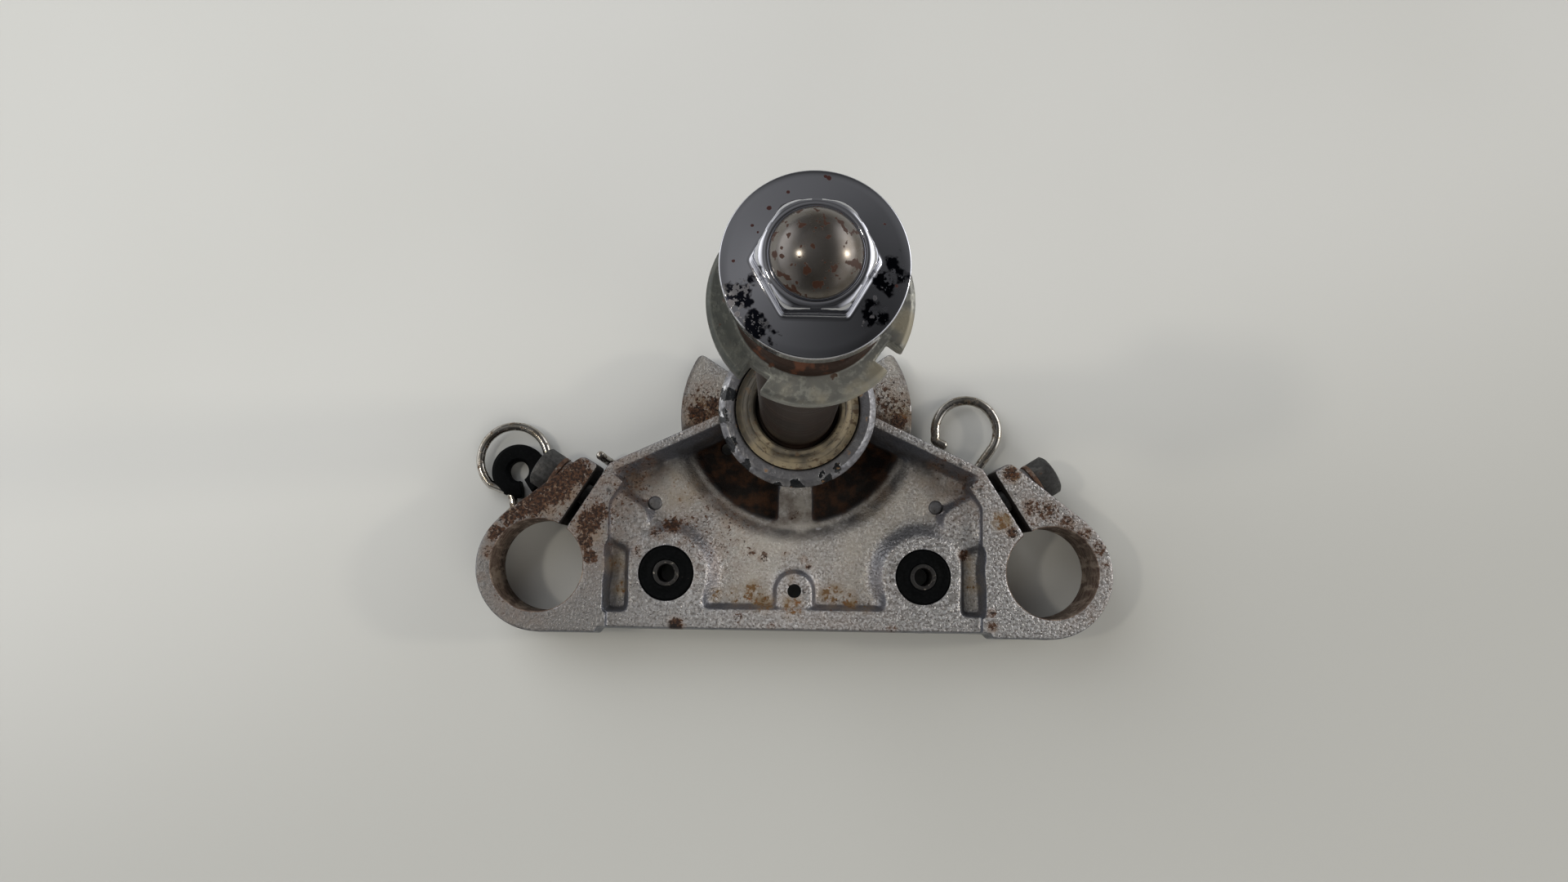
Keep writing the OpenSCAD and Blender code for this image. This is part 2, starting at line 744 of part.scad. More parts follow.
// Rubber bush, dished at both ends
module grommet() color("#23262b") {
    r = bush_d / 2 - press_gap;
    inner = sleeve_d / 2 + press_gap;
    top = boss_top - 0.2;
    at_bush() rotate_extrude() polygon([
        [inner, boss_low + 1], [inner + 1.5, boss_low], [r - 1, boss_low], [r, boss_low + 1], [r, top - 0.8],
        [r - 0.8, top], [r - 2.2, top - 0.4], [inner + 2, top - 0.4], [inner + 1, top], [inner, top]
    ]);
}

module collar() color("#8e8b86") {
    low = boss_low - sleeve_proud;
    h = boss_top - 0.2 - boss_low + 2 * sleeve_proud;
    at_bush() translate([0, 0, low]) difference() {
        cylinder(d = sleeve_d, h = h);
        translate([0, 0, -past]) cylinder(d = sleeve_bore, h = h + 2 * past);
    }
}

wire_r = wire_d / 2;
// Height of the wires' middle where they pass under the walls
wire_z = wall_low - slip_gap - wire_r;
left_rivet = [-rivet_spacing / 2, -rivet_offset];
right_rivet = [rivet_spacing / 2, -rivet_offset];
// The left wire's eye lies under the stub's eye
left_eye_low = plate_low - 2 * eye_t;
eye_low = plate_low - eye_t;
left_loop = [-106, -17.9];
right_loop = [64.4, -4.1];
// Bends of the left wire on its way out, and of its free end after the loop
left_bend = [-85.5, -30.5];
left_hook = [-106.6, -30.2];
left_turn = [-105, -36.2];
left_end = [-109.7, -40.7];
// Bends and free end of the stub
stub_bend = [-62.5, -23];
stub_turn = [-70.5, -17.9];
stub_end = [-72.5, -16.4];
stub_end_z = 12;
// Bend of the right wire on its way out, and of its free end after the loop
right_bend = [66.5, -21.3];
right_hook = [52.5, -8.2];
right_end = [56, -9.7];
// Middle of the rubber ring
hose_ring_place = [-103.9, -22.2];
hose_ring_low = 0.6;

// Where a wire leaves its flat eye, and the height there of the two that lie against the plate
function wire_start(place, toward) = place + unit(toward - place) * (eye_d / 2 + 1.7);
function wire_dip(place, toward) = place + unit(toward - place) * (eye_d / 2 + 7);
start_z = plate_low - slip_gap - wire_r;

function loop_arc(centre, r, from, to, steps) =
    [for (i = [0:steps]) let (a = from + (to - from) * i / steps) [centre.x + r * cos(a), centre.y + r * sin(a), wire_z]];

function left_path() = concat(
    wire_path([
        [wire_start(left_rivet, left_bend).x, wire_start(left_rivet, left_bend).y, wire_z, 0],
        [left_bend.x, left_bend.y, wire_z, 6],
        [left_loop.x + left_loop_r * cos(20) + 0.6, left_loop.y + left_loop_r * sin(20) - 2, wire_z, 0]
    ]),
    loop_arc(left_loop, left_loop_r, 24, 222, 18),
    wire_path([
        [left_loop.x + left_loop_r * cos(228), left_loop.y + left_loop_r * sin(228), wire_z, 0],
        [left_hook.x, left_hook.y, wire_z, 3],
        [left_turn.x, left_turn.y, wire_z, 2.5],
        [left_end.x, left_end.y, wire_z, 0]
    ])
);

// Flat eye round a rivet, with the neck that turns into the wire
module eye(place, low, toward) {
    way = unit(toward - place);
    neck_w = wire_d - 0.4;
    translate([place.x, place.y, low]) difference() {
        union() {
            cylinder(d = eye_d, h = eye_t);
            rotate([0, 0, atan2(way.y, way.x)]) translate([0, -neck_w / 2, 0])
                cube([eye_d / 2 + 2.7, neck_w, eye_t]);
        }
        translate([0, 0, -past]) cylinder(d = rivet_d + 2 * press_gap, h = eye_t + 2 * past);
    }
}

module left_hose_guide() color("#9a958e") {
    wire(left_path(), wire_d);
    eye(left_rivet, left_eye_low, left_bend);
}

module left_guide_stub() color("#9a958e") {
    wire(wire_path([
        [wire_start(left_rivet, stub_bend).x, wire_start(left_rivet, stub_bend).y, start_z, 0],
        [wire_dip(left_rivet, stub_bend).x, wire_dip(left_rivet, stub_bend).y, wire_z, 3],
        [stub_bend.x, stub_bend.y, wire_z, 4],
        [stub_turn.x, stub_turn.y, wire_z, 4],
        [stub_end.x, stub_end.y, stub_end_z, 0]
    ]), wire_d);
    eye(left_rivet, eye_low, stub_bend);
}

module right_cable_guide() color("#9a958e") {
    wire(concat(
        wire_path([
            [wire_start(right_rivet, right_bend).x, wire_start(right_rivet, right_bend).y, start_z, 0],
            [wire_dip(right_rivet, right_bend).x, wire_dip(right_rivet, right_bend).y, wire_z, 3],
            [right_bend.x, right_bend.y, wire_z, 12],
            [right_loop.x + right_loop_r * cos(40), right_loop.y - right_loop_r * sin(40), wire_z, 0]
        ]),
        loop_arc(right_loop, right_loop_r, -32, 182, 18),
        wire_path([
            [right_loop.x - right_loop_r + 0.1, right_loop.y - 2, wire_z, 0],
            [right_hook.x, right_hook.y, wire_z, 1.5],
            [right_end.x, right_end.y, wire_z, 0]
        ])
    ), wire_d);
    eye(right_rivet, eye_low, right_bend);
}

// Rivet with its head under the eyes and its end peened flush with the floor
module rivet(place, head_top) color("#6f6d6b") {
    head_h = 1.6;
    r = rivet_d / 2 - press_gap;
    translate([place.x, place.y, 0]) rotate_extrude() polygon([
        [0, head_top - head_h], [r + 1, head_top - head_h], [r + 2, head_top - head_h + 0.8], [r + 2, head_top],
        [r, head_top], [r, floor_z - 0.3], [r - 0.6, floor_z + 0.3], [0, floor_z + 0.3]
    ]);
}

// Split rubber ring that holds a hose, clipped over the left wire
module hose_ring() color("#23262b") {
    inner = hose_ring_bore / 2;
    outer = hose_ring_d / 2;
    low = hose_ring_low;
    top = low + hose_ring_h;
    difference() {
        translate([hose_ring_place.x, hose_ring_place.y, 0]) rotate([0, 0, -55]) rotate_extrude(angle = 335) polygon([
            [inner, low + 1], [inner + 1, low], [outer - 1.2, low], [outer, low + 1.2], [outer, top - 1.2],
            [outer - 1.2, top], [inner + 1, top], [inner, top - 1]
        ]);
        wire(left_path(), wire_d + 2 * slip_gap);
    }
}

lower_yoke();
steering_stem();
lower_bearing_race();
bearing_dust_cup();
stem_ring_nut();
stem_cap_nut();
pinch_bolts();
pinch_washers();
mirror([1, 0, 0]) grommet();  // left_grommet
grommet();  // right_grommet
mirror([1, 0, 0]) collar();  // left_collar
collar();  // right_collar
left_hose_guide();
hose_ring();
left_guide_stub();
right_cable_guide();
rivet(left_rivet, left_eye_low);  // left_guide_rivet
rivet(right_rivet, eye_low);  // right_guide_rivet
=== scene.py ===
# %% [markdown]
# # A worn lower triple clamp
# A triple clamp joins a motorcycle's fork legs to its frame. This one is an aluminium casting with a
# steel stem pressed into it, and years of road dirt and rust on both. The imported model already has
# every piece in its place and at its size, so this script only dresses it: rounder castings, threads,
# bent wires, and finishes that wear where the real ones do.

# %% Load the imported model
import math
from statistics import NormalDist

import bmesh
import bpy
import numpy as np
from mathutils import Euler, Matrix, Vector


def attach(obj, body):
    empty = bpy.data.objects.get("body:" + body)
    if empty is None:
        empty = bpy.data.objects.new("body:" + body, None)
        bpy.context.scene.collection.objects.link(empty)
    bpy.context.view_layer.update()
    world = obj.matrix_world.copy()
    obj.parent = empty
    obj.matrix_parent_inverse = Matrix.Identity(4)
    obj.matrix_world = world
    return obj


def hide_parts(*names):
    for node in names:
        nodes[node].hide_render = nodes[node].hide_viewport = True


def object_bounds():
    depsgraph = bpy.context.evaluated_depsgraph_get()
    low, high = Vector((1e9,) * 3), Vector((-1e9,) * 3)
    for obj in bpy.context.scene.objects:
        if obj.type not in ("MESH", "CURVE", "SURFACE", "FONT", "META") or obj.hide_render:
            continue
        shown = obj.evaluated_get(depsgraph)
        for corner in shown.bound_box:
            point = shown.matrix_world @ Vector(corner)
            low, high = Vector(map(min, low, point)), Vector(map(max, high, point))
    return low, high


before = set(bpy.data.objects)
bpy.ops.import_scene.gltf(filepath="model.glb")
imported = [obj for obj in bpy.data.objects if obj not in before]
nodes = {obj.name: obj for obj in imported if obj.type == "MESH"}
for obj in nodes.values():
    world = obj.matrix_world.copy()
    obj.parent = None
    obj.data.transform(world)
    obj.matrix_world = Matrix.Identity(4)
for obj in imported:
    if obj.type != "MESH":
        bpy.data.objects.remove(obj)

MM = 0.001
cad_low, cad_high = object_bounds()
print("nodes", len(nodes), "size in mm", [round(v / MM, 1) for v in cad_high - cad_low])

# %% [markdown]
# ## Camera
# The photograph looks almost straight down from about 42 cm, so the tall stem nut looks far bigger
# than it would from afar. A camera in Blender gets the same view from three facts: how it is turned,
# where it is, and how long its lens is in pixels of the picture.

# %% Camera
PHOTO_W, PHOTO_H = 1920, 1080
LENS_PX = 1411.3
CAMERA_TURN = (-0.115, 0.004, -0.017)
CAMERA_SHIFT_MM = Vector((4.785, 11.134, -417.304))
CLAMP_TOP_MM = 24.0
SENSOR_MM = 36.0

turned = Euler(CAMERA_TURN, "XYZ").to_matrix()
camera_data = bpy.data.cameras.new("photo_camera")
camera_data.sensor_width = SENSOR_MM
camera_data.lens = SENSOR_MM * LENS_PX / PHOTO_W
camera = bpy.data.objects.new("photo_camera", camera_data)
bpy.context.scene.collection.objects.link(camera)
camera_mm = -(turned.transposed() @ CAMERA_SHIFT_MM) + Vector((0, 0, CLAMP_TOP_MM))
camera.matrix_world = turned.transposed().to_4x4()
camera.location = camera_mm * MM
bpy.context.scene.camera = camera
bpy.context.scene.view_settings.view_transform = "Standard"
print("camera at mm", [round(v, 1) for v in camera_mm], "lens", round(camera_data.lens, 2))


def seen_at(pixel_x, pixel_y, height_mm):
    """The point in mm, at a height, that the photograph shows at a pixel of its 1920 x 1080 frame."""
    ray = Vector(((pixel_x - PHOTO_W / 2) / LENS_PX, (PHOTO_H / 2 - pixel_y) / LENS_PX, -1))
    ray = turned.transposed() @ ray
    return camera_mm + ray * ((height_mm - camera_mm.z) / ray.z)


# %% [markdown]
# ## Table
# The part stands on a pale, smooth table. A plain sheet does for it, with a little gloss and a colour that drifts
# slowly, because a perfectly even floor looks like paper, and a painted shadow that darkens it towards the front.

# %% Node and colour helpers
def colour(code):
    """A hex sRGB colour as the linear values that shaders take."""
    parts = [int(code[i:i + 2], 16) / 255 for i in (1, 3, 5)]
    return [c / 12.92 if c <= 0.04045 else ((c + 0.055) / 1.055) ** 2.4 for c in parts] + [1.0]


def add(tree, kind, inputs=None, out=0, **settings):
    """Adds a node, sets it, sets or links its inputs, and gives back one of its outputs."""
    node = tree.nodes.new(kind)
    for name, value in settings.items():
        setattr(node, name, value)
    for name, value in (inputs or {}).items():
        if isinstance(value, bpy.types.NodeSocket):
            tree.links.new(value, node.inputs[name])
        else:
            node.inputs[name].default_value = value
    return node.outputs[out] if len(node.outputs) else None


def start_finish(name, base, metal, rough):
    """A new material, as a stack of finishes of which this is the lowest."""
    material = bpy.data.materials.new(name)
    material.use_nodes = True
    tree = material.node_tree
    tree.nodes.clear()
    place = add(tree, "ShaderNodeTexCoord", out="Object")
    return {"material": material, "tree": tree, "place": place, "colour": colour(base),
            "metal": metal, "rough": rough, "height": None}


def lay(finish, mask, base=None, metal=None, rough=None, lift=0.0):
    """Lays a finish over the ones below it where the mask is 1. lift is in mm."""
    tree = finish["tree"]
    if base:
        top = base if isinstance(base, bpy.types.NodeSocket) else colour(base)
        finish["colour"] = add(tree, "ShaderNodeMix", {0: mask, 6: finish["colour"], 7: top},
                               out=2, data_type="RGBA")
    for key, value in (("metal", metal), ("rough", rough)):
        if value is not None:
            finish[key] = add(tree, "ShaderNodeMix", {0: mask, 2: finish[key], 3: value})
    if lift:
        below = finish["height"] or 0.0
        finish["height"] = add(tree, "ShaderNodeMath", {0: mask, 1: lift, 2: below}, operation="MULTIPLY_ADD")


def close_finish(finish, **sockets):
    """Joins the stack to a shader. sockets are settings that are the same all over."""
    tree = finish["tree"]
    inputs = {"Base Color": finish["colour"], "Metallic": finish["metal"], "Roughness": finish["rough"]}
    inputs.update(sockets)
    if finish["height"]:
        inputs["Normal"] = add(tree, "ShaderNodeBump",
                               {"Height": finish["height"], "Distance": MM, "Strength": 1.0})
    shader = add(tree, "ShaderNodeBsdfPrincipled", inputs)
    add(tree, "ShaderNodeOutputMaterial", {"Surface": shader})
    print("finish", finish["material"].name, "with", len(tree.nodes), "nodes")
    return finish["material"]


# %% [markdown]
# Nearly every finish here is a base with masks of spots laid over it: grain, dirt, rust, flaked paint.
# Blender's noise has a mean of 0.5 and spreads like a bell curve, so the level above which a wanted
# share of the surface lies can be worked out, and a spot's size turned into a noise scale. The seed
# only moves the pattern, so the same script gives the same spots each time.

# %% Pattern helpers
# How widely Blender's noise spreads about 0.5, and how many of its waves fit into one spot's size
NOISE_SPREAD = 0.115
WAVES_PER_SPOT = 0.6
SEED_STEP = (0.37, 0.61, 0.23)
# The mask round a place is full out to the first share of its radius, and gone at the second
FULL_SHARE, GONE_SHARE = 0.3, 1.3


def ramp(finish, value, low, high, to_low=0.0, to_high=1.0):
    """Turns a value that runs from low to high into a mask."""
    return add(finish["tree"], "ShaderNodeMapRange", {0: value, 1: low, 2: high, 3: to_low, 4: to_high},
               interpolation_type="SMOOTHSTEP")


def both(finish, a, b, operation="MULTIPLY"):
    """Two masks in one."""
    return add(finish["tree"], "ShaderNodeMath", {0: a, 1: b}, operation=operation, use_clamp=True)


def spots(finish, size_mm, cover, soft=0.05, seed=0, crowd=None, crowding=0.25, detail=3.0,
          stretch=(1, 1, 1)):
    """A mask of uneven spots about size_mm across, which cover that share of the surface.

    crowd is a mask of where they lie closer together, and stretch lengthens them along x, y or z.
    """
    tree = finish["tree"]
    pull = [1 / s for s in stretch]
    place = add(tree, "ShaderNodeVectorMath", {0: finish["place"], 1: pull, 2: [seed * s for s in SEED_STEP]},
                operation="MULTIPLY_ADD")
    value = add(tree, "ShaderNodeTexNoise", {"Vector": place, "Scale": WAVES_PER_SPOT / (size_mm * MM),
                                             "Detail": detail, "Roughness": 0.6})
    if crowd is not None:
        value = add(tree, "ShaderNodeMath", {0: crowd, 1: crowding, 2: value}, operation="MULTIPLY_ADD")
    edge = 0.5 - NOISE_SPREAD * NormalDist().inv_cdf(cover)
    return ramp(finish, value, edge - soft, edge + soft)


def around(finish, places, height_mm):
    """A mask that is full at each place of the photograph and fades over its radius in pixels.

    A place is (pixel x, pixel y, radius in pixels, strength).
    """
    tree = finish["tree"]
    flat = add(tree, "ShaderNodeVectorMath", {0: finish["place"], 1: (1, 1, 0)}, operation="MULTIPLY")
    mask = None
    for pixel_x, pixel_y, radius_px, strength in places:
        middle = seen_at(pixel_x, pixel_y, height_mm)
        radius = radius_px * (camera_mm.z - height_mm) / LENS_PX * MM
        far = add(tree, "ShaderNodeVectorMath", {0: flat, 1: (middle.x * MM, middle.y * MM, 0)},
                  out="Value", operation="DISTANCE")
        near = ramp(finish, far, radius * FULL_SHARE, radius * GONE_SHARE, strength, 0.0)
        mask = near if mask is None else both(finish, mask, near, "MAXIMUM")
    return mask


# %% The table
TABLE_REACH_M = 4.0
# A painted shadow darkens the table this way, from the first place along it to the second
SHADED_WAY = (0.25, -1, 0)
SHADE_FROM_M, SHADE_TO_M = -0.06, 0.14

table_finish = start_finish("laminate_table", "#cbccc9", 0.0, 0.5)
lay(table_finish, spots(table_finish, 260, 0.5, soft=0.2), base="#c5c6c2")
across_table = add(table_finish["tree"], "ShaderNodeVectorMath", {0: table_finish["place"], 1: SHADED_WAY},
                   out="Value", operation="DOT_PRODUCT")
lay(table_finish, ramp(table_finish, across_table, SHADE_FROM_M, SHADE_TO_M, 0.0, 0.85), base="#b2b3af")
lay(table_finish, spots(table_finish, 1.2, 0.02, seed=3), rough=0.6)
laminate = close_finish(table_finish, **{"Specular IOR Level": 0.25})

form = bmesh.new()
bmesh.ops.create_grid(form, x_segments=8, y_segments=8, size=TABLE_REACH_M)
table_mesh = bpy.data.meshes.new("table")
form.to_mesh(table_mesh)
form.free()
table_mesh.materials.append(laminate)
table = bpy.data.objects.new("table", table_mesh)
table.location.z = cad_low.z
bpy.context.scene.collection.objects.link(table)
print("table at mm", round(table.location.z / MM, 2))

# %% [markdown]
# ## Light
# Two small lamps hang over the table, one to each side: they are the two bright dots on the nut's
# dome. Where the dots lie tells how far each lamp leans out. Most of the light is softer: a screen
# at the rear left, which makes that corner of the table the palest, and one in front. A mirror would
# show the screens, where the photograph shows none, so they are left out of reflections.

# %% Lamps
def lamp(name, place_m, size_m, watts, tint):
    """A square soft lamp that points at the part."""
    data = bpy.data.lights.new(name, "AREA")
    data.size = size_m
    data.energy = watts
    data.color = colour(tint)[:3]
    piece = bpy.data.objects.new(name, data)
    piece.location = place_m
    piece.rotation_euler = Vector(place_m).to_track_quat("Z", "Y").to_euler()
    bpy.context.scene.collection.objects.link(piece)
    return piece


lamp("left_lamp", place_m=(-0.93, -0.06, 1.4), size_m=0.11, watts=3.2, tint="#fff6e6")
lamp("right_lamp", place_m=(2.1, 0.15, 1.0), size_m=0.16, watts=10.0, tint="#fff6e6")
screen = lamp("soft_screen", place_m=(-0.85, 0.72, 0.9), size_m=1.4, watts=15.3, tint="#f9fafd")
fill = lamp("front_fill", place_m=(0.5, -1.1, 1.3), size_m=1.6, watts=12.5, tint="#fffaf2")
screen.visible_glossy = fill.visible_glossy = False
print("lamps", len(bpy.data.lights))

# %% [markdown]
# The rest of the light is the room's, and comes from the world. The room is dim overhead, in front
# and behind, and polished metal shows that as its near-black parts. Its glow is a product of shares,
# each of which depends on the direction: 1, -1 and 0 along x, y or z mean all the way that way, all
# the way back, and neither. The camera's own rays see a plain pale colour instead.

# %% Room
SIDE_GLOW, TOP_GLOW = 2.5, 0.17
MIDDLE_SHARE = 0.07
FRONT_SHARE, BACK_SHARE = 0.4, 1.1
LOW_LEFT_SHARE, LOW_RIGHT_SHARE = 0.75, 1.3
HIGH_LEFT_SHARE, HIGH_RIGHT_SHARE = 1.7, 0.4

world = bpy.data.worlds.new("room")
bpy.context.scene.world = world
world.use_nodes = True
room = world.node_tree
room.nodes.clear()
way = add(room, "ShaderNodeSeparateXYZ", {0: add(room, "ShaderNodeTexCoord", out="Generated")}).node.outputs
by_height = add(room, "ShaderNodeMapRange", {0: way["Z"], 1: 0.15, 2: 0.85, 3: SIDE_GLOW, 4: TOP_GLOW},
                interpolation_type="SMOOTHSTEP")
overhead = add(room, "ShaderNodeMapRange", {0: way["Z"], 1: 0.6, 2: 0.9, 3: 0.0, 4: 1.0})
aside = add(room, "ShaderNodeMath", {0: way["X"]}, operation="ABSOLUTE")
aside = add(room, "ShaderNodeMapRange", {0: aside, 1: 0.4, 2: 0.92, 3: MIDDLE_SHARE, 4: 1.0},
            interpolation_type="SMOOTHSTEP")
aside = add(room, "ShaderNodeMath", {0: aside, 1: overhead}, operation="MAXIMUM")
back = add(room, "ShaderNodeMapRange", {0: way["Y"], 1: -0.3, 2: 0.4, 3: FRONT_SHARE, 4: BACK_SHARE})
low = add(room, "ShaderNodeMapRange",
          {0: way["X"], 1: -0.8, 2: 0.8, 3: LOW_LEFT_SHARE, 4: LOW_RIGHT_SHARE})
high = add(room, "ShaderNodeMapRange",
           {0: way["X"], 1: -0.35, 2: 0.35, 3: HIGH_LEFT_SHARE, 4: HIGH_RIGHT_SHARE})
sideways = add(room, "ShaderNodeMix", {0: overhead, 2: low, 3: high})
strength = 1.0
for share in (by_height, aside, back, sideways):
    strength = add(room, "ShaderNodeMath", {0: share, 1: strength}, operation="MULTIPLY")
glow = add(room, "ShaderNodeBackground", {"Color": colour("#f1f1f4"), "Strength": strength})
seen = add(room, "ShaderNodeBackground", {"Color": colour("#dfe0dd"), "Strength": 1.0})
rays = add(room, "ShaderNodeLightPath", out="Is Camera Ray")
add(room, "ShaderNodeOutputWorld", {"Surface": add(room, "ShaderNodeMixShader", {0: rays, 1: glow, 2: seen})})
print("room lit with", len(room.nodes), "nodes")


# %% [markdown]
# ## Placing pieces
# Each CAD solid has knife-sharp edges, which no real metal has. A copy of its mesh is cleaned and its
# edges are rounded by a few tenths of a millimetre, so that they catch the light, and the copy then
# stands for the solid.

# %% Piece helpers
WELD_M = 1e-6
# Faces that lie this near to one plane are joined, and edges sharper than the second are rounded
ONE_PLANE_DEG, SHARP_DEG = 0.6, 28


def piece_from(name, mesh, material, slot, *replaced):
    """Makes a piece of a mesh, on the model's one body, in place of the CAD nodes named."""
    mesh.materials.clear()
    mesh.materials.append(material)
    piece = bpy.data.objects.new(name, mesh)
    bpy.context.scene.collection.objects.link(piece)
    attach(piece, "root")
    if replaced:
        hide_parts(*replaced)
    return piece


def soften_shading(mesh, angle_deg=40):
    """Smooth shading that breaks at the edges sharper than the angle."""
    mesh.polygons.foreach_set("use_smooth", [True] * len(mesh.polygons))
    mesh.set_sharp_from_angle(angle=math.radians(angle_deg))


def rounded(node, round_mm, steps=2):
    """A copy of a CAD node's mesh with its sharp edges rounded."""
    form = bmesh.new()
    form.from_mesh(nodes[node].data)
    bmesh.ops.remove_doubles(form, verts=form.verts, dist=WELD_M)
    bmesh.ops.dissolve_limit(form, angle_limit=math.radians(ONE_PLANE_DEG), verts=form.verts,
                             edges=form.edges)
    sharp = [e for e in form.edges if e.is_manifold and e.calc_face_angle() > math.radians(SHARP_DEG)]
    bmesh.ops.bevel(form, geom=sharp, offset=round_mm * MM, segments=steps, profile=0.5, affect="EDGES",
                    clamp_overlap=True)
    mesh = bpy.data.meshes.new(node + "_rounded")
    form.to_mesh(mesh)
    form.free()
    soften_shading(mesh)
    print(node, "rounded by", round_mm, "mm,", len(mesh.polygons), "faces")
    return mesh


# %% [markdown]
# ## The casting
# The real casting has no sharp corner: the sand mould rounds them all, most of all where a boss or a
# wall meets the floor. Filling the solid with small cubes and wrapping them in one even mesh (a voxel
# remesh) makes every corner of it smoothable. The floor of the dish is first bent down to the pocket
# round the hub in a slope some 6 mm wide. Its points then settle upwards, which fills every inner
# corner with a fillet of some 3 mm.

# %% Where the casting's forms are
# Middles in plan of the right fork bore, the right bush, the right rivet, the tapped hole and the stem
FORK_MM, BUSH_MM, RIVET_MM = Vector((92.1, -57.1)), Vector((46.15, -59.3)), Vector((51.3, -34.0))
TAB_MM, STEM_MM = Vector((0.0, -65.0)), Vector((0.0, 0.0))
# Heights of the dish's floor, the pocket's floor and the rib across the pocket
FLOOR_TOP_MM, POCKET_FLOOR_MM, RIB_TOP_MM = 16.0, 9.0, 12.3
# Radius of the pocket's rim, and the foot of the rear walls, where WALL_SLOPE * |x| + y = WALL_FOOT_MM
POCKET_R, WALL_SLOPE, WALL_FOOT_MM = 44.5, 0.55, 13.7
print("pocket", FLOOR_TOP_MM - POCKET_FLOOR_MM, "mm deep")

# %% Remesh the casting
VOXEL_MM = 0.5


def applied(mesh, modifiers):
    """A new mesh, made by a mesh and the modifiers named, each with its settings."""
    holder = bpy.data.objects.new("holder", mesh)
    bpy.context.scene.collection.objects.link(holder)
    for kind, settings in modifiers:
        modifier = holder.modifiers.new(kind, kind)
        for name, value in settings.items():
            setattr(modifier, name, value)
    shaped = bpy.data.meshes.new_from_object(holder.evaluated_get(bpy.context.evaluated_depsgraph_get()))
    bpy.data.objects.remove(holder)
    return shaped


cast_mesh = applied(nodes["lower_yoke"].data.copy(),
                    [("REMESH", {"mode": "VOXEL", "voxel_size": VOXEL_MM * MM})])
count = len(cast_mesh.vertices)
spot = np.empty(count * 3)
cast_mesh.vertices.foreach_get("co", spot)
spot = spot.reshape(-1, 3) / MM
edge = np.empty(len(cast_mesh.edges) * 2, dtype=np.int64)
cast_mesh.edges.foreach_get("vertices", edge)
edge = edge.reshape(-1, 2)
print("casting remeshed:", count, "points")


# %% Smoothing helpers
ends = np.bincount(edge.ravel(), minlength=count)


def away(middle):
    """How far each point lies in plan from a place or from its mirror, whichever is nearer."""
    return np.hypot(np.abs(spot[:, 0]) - middle.x, spot[:, 1] - middle.y)


def between(k):
    """The middle of each point's neighbours along axis k."""
    return (np.bincount(edge[:, 0], spot[edge[:, 1], k], count)
            + np.bincount(edge[:, 1], spot[edge[:, 0], k], count)) / ends


def smooth(rounds, share):
    """Moves each point towards the middle of its neighbours."""
    global spot
    for _ in range(rounds):
        spot = spot + share[:, None] * (np.stack([between(k) for k in range(3)], 1) - spot)


def settle(rounds, share):
    """Moves points up only, which fills inner corners."""
    for _ in range(rounds):
        step = between(2) - spot[:, 2]
        spot[:, 2] += share * np.where(step > 0, step, 0)


def fade(value, low, high):
    """0 below low, 1 above high, smooth between."""
    t = np.clip((value - low) / (high - low), 0, 1)
    return t * t * (3 - 2 * t)


print("each point has", round(ends.mean(), 1), "neighbours")

# %% [markdown]
# The slope down to the pocket is made by a limit on height: as low as the rib at the pocket's rim, as
# high as the floor a few millimetres outside it. It holds only for points that face up, lie before the
# rear walls and clear the hub. The pocket's own floor rises a little towards its rim.

# %% Slope the floor down to the pocket
CLEAR_OF_HUB_R = (24, 28)
SUNK_FROM_MM, SUNK_TO_MM = 8.6, 16.6
POCKET_RISE_MM = 3.9

normals = np.empty(count * 3)
cast_mesh.vertices.foreach_get("normal", normals)
facing_up = normals[2::3] > -0.3
height = spot[:, 2].copy()
stem_far = away(STEM_MM)
before_wall = 1 - fade(WALL_SLOPE * np.abs(spot[:, 0]) + spot[:, 1], WALL_FOOT_MM - 6, WALL_FOOT_MM - 2)
sunk = facing_up & (height > SUNK_FROM_MM) & (height < SUNK_TO_MM)
sunk = before_wall * fade(stem_far, *CLEAR_OF_HUB_R) * sunk
ceiling = RIB_TOP_MM + (FLOOR_TOP_MM - RIB_TOP_MM) * fade(stem_far, POCKET_R - 2.5, POCKET_R + 4)
ground = POCKET_FLOOR_MM + POCKET_RISE_MM * fade(stem_far, POCKET_R - 5, POCKET_R)
sloped = np.clip(height, np.minimum(ground, ceiling), np.where(height > SUNK_FROM_MM, ceiling, height))
spot[:, 2] += sunk * (sloped - height)
print("slope moved", int((np.abs(spot[:, 2] - height) > 0.01).sum()), "points")

# %% [markdown]
# A few rounds of smoothing take the steps of the small cubes off everywhere. The wide fillets are made
# in the dish only, and fade out towards the bores and the tops.

# %% Smooth the dish
# From the first radius round each bore to the second, the casting goes from sharp to smooth
SHARP_ROUND = ((FORK_MM, 17.0, 18.5), (BUSH_MM, 10.3, 11.6), (RIVET_MM, 2.8, 4.0), (TAB_MM, 2.7, 3.6))
DISH_LOW_MM, DISH_HIGH_MM = (9.5, 11), (22.4, 23.6)
DISH_SIDE_MM, DISH_FRONT_MM = 74, -73.6
EVEN_ROUNDS, FILL_ROUNDS, SOFTEN_ROUNDS = 6, 90, 16

in_dish = fade(height, *DISH_LOW_MM) * (1 - fade(height, *DISH_HIGH_MM))
for middle, sharp_r, smooth_r in SHARP_ROUND:
    in_dish *= fade(away(middle), sharp_r, smooth_r)
in_dish *= (np.abs(spot[:, 0]) < DISH_SIDE_MM) & (spot[:, 1] > DISH_FRONT_MM)
# Bigger cubes need fewer rounds to smooth as wide
scale = (0.5 / VOXEL_MM) ** 2
smooth(max(2, round(EVEN_ROUNDS * scale)), 0.5 * np.ones(count))
settle(round(FILL_ROUNDS * scale), 0.6 * in_dish)
smooth(max(4, round(SOFTEN_ROUNDS * scale)), 0.5 * in_dish)
print("dish smoothed at", int((in_dish > 0.5).sum()), "points")

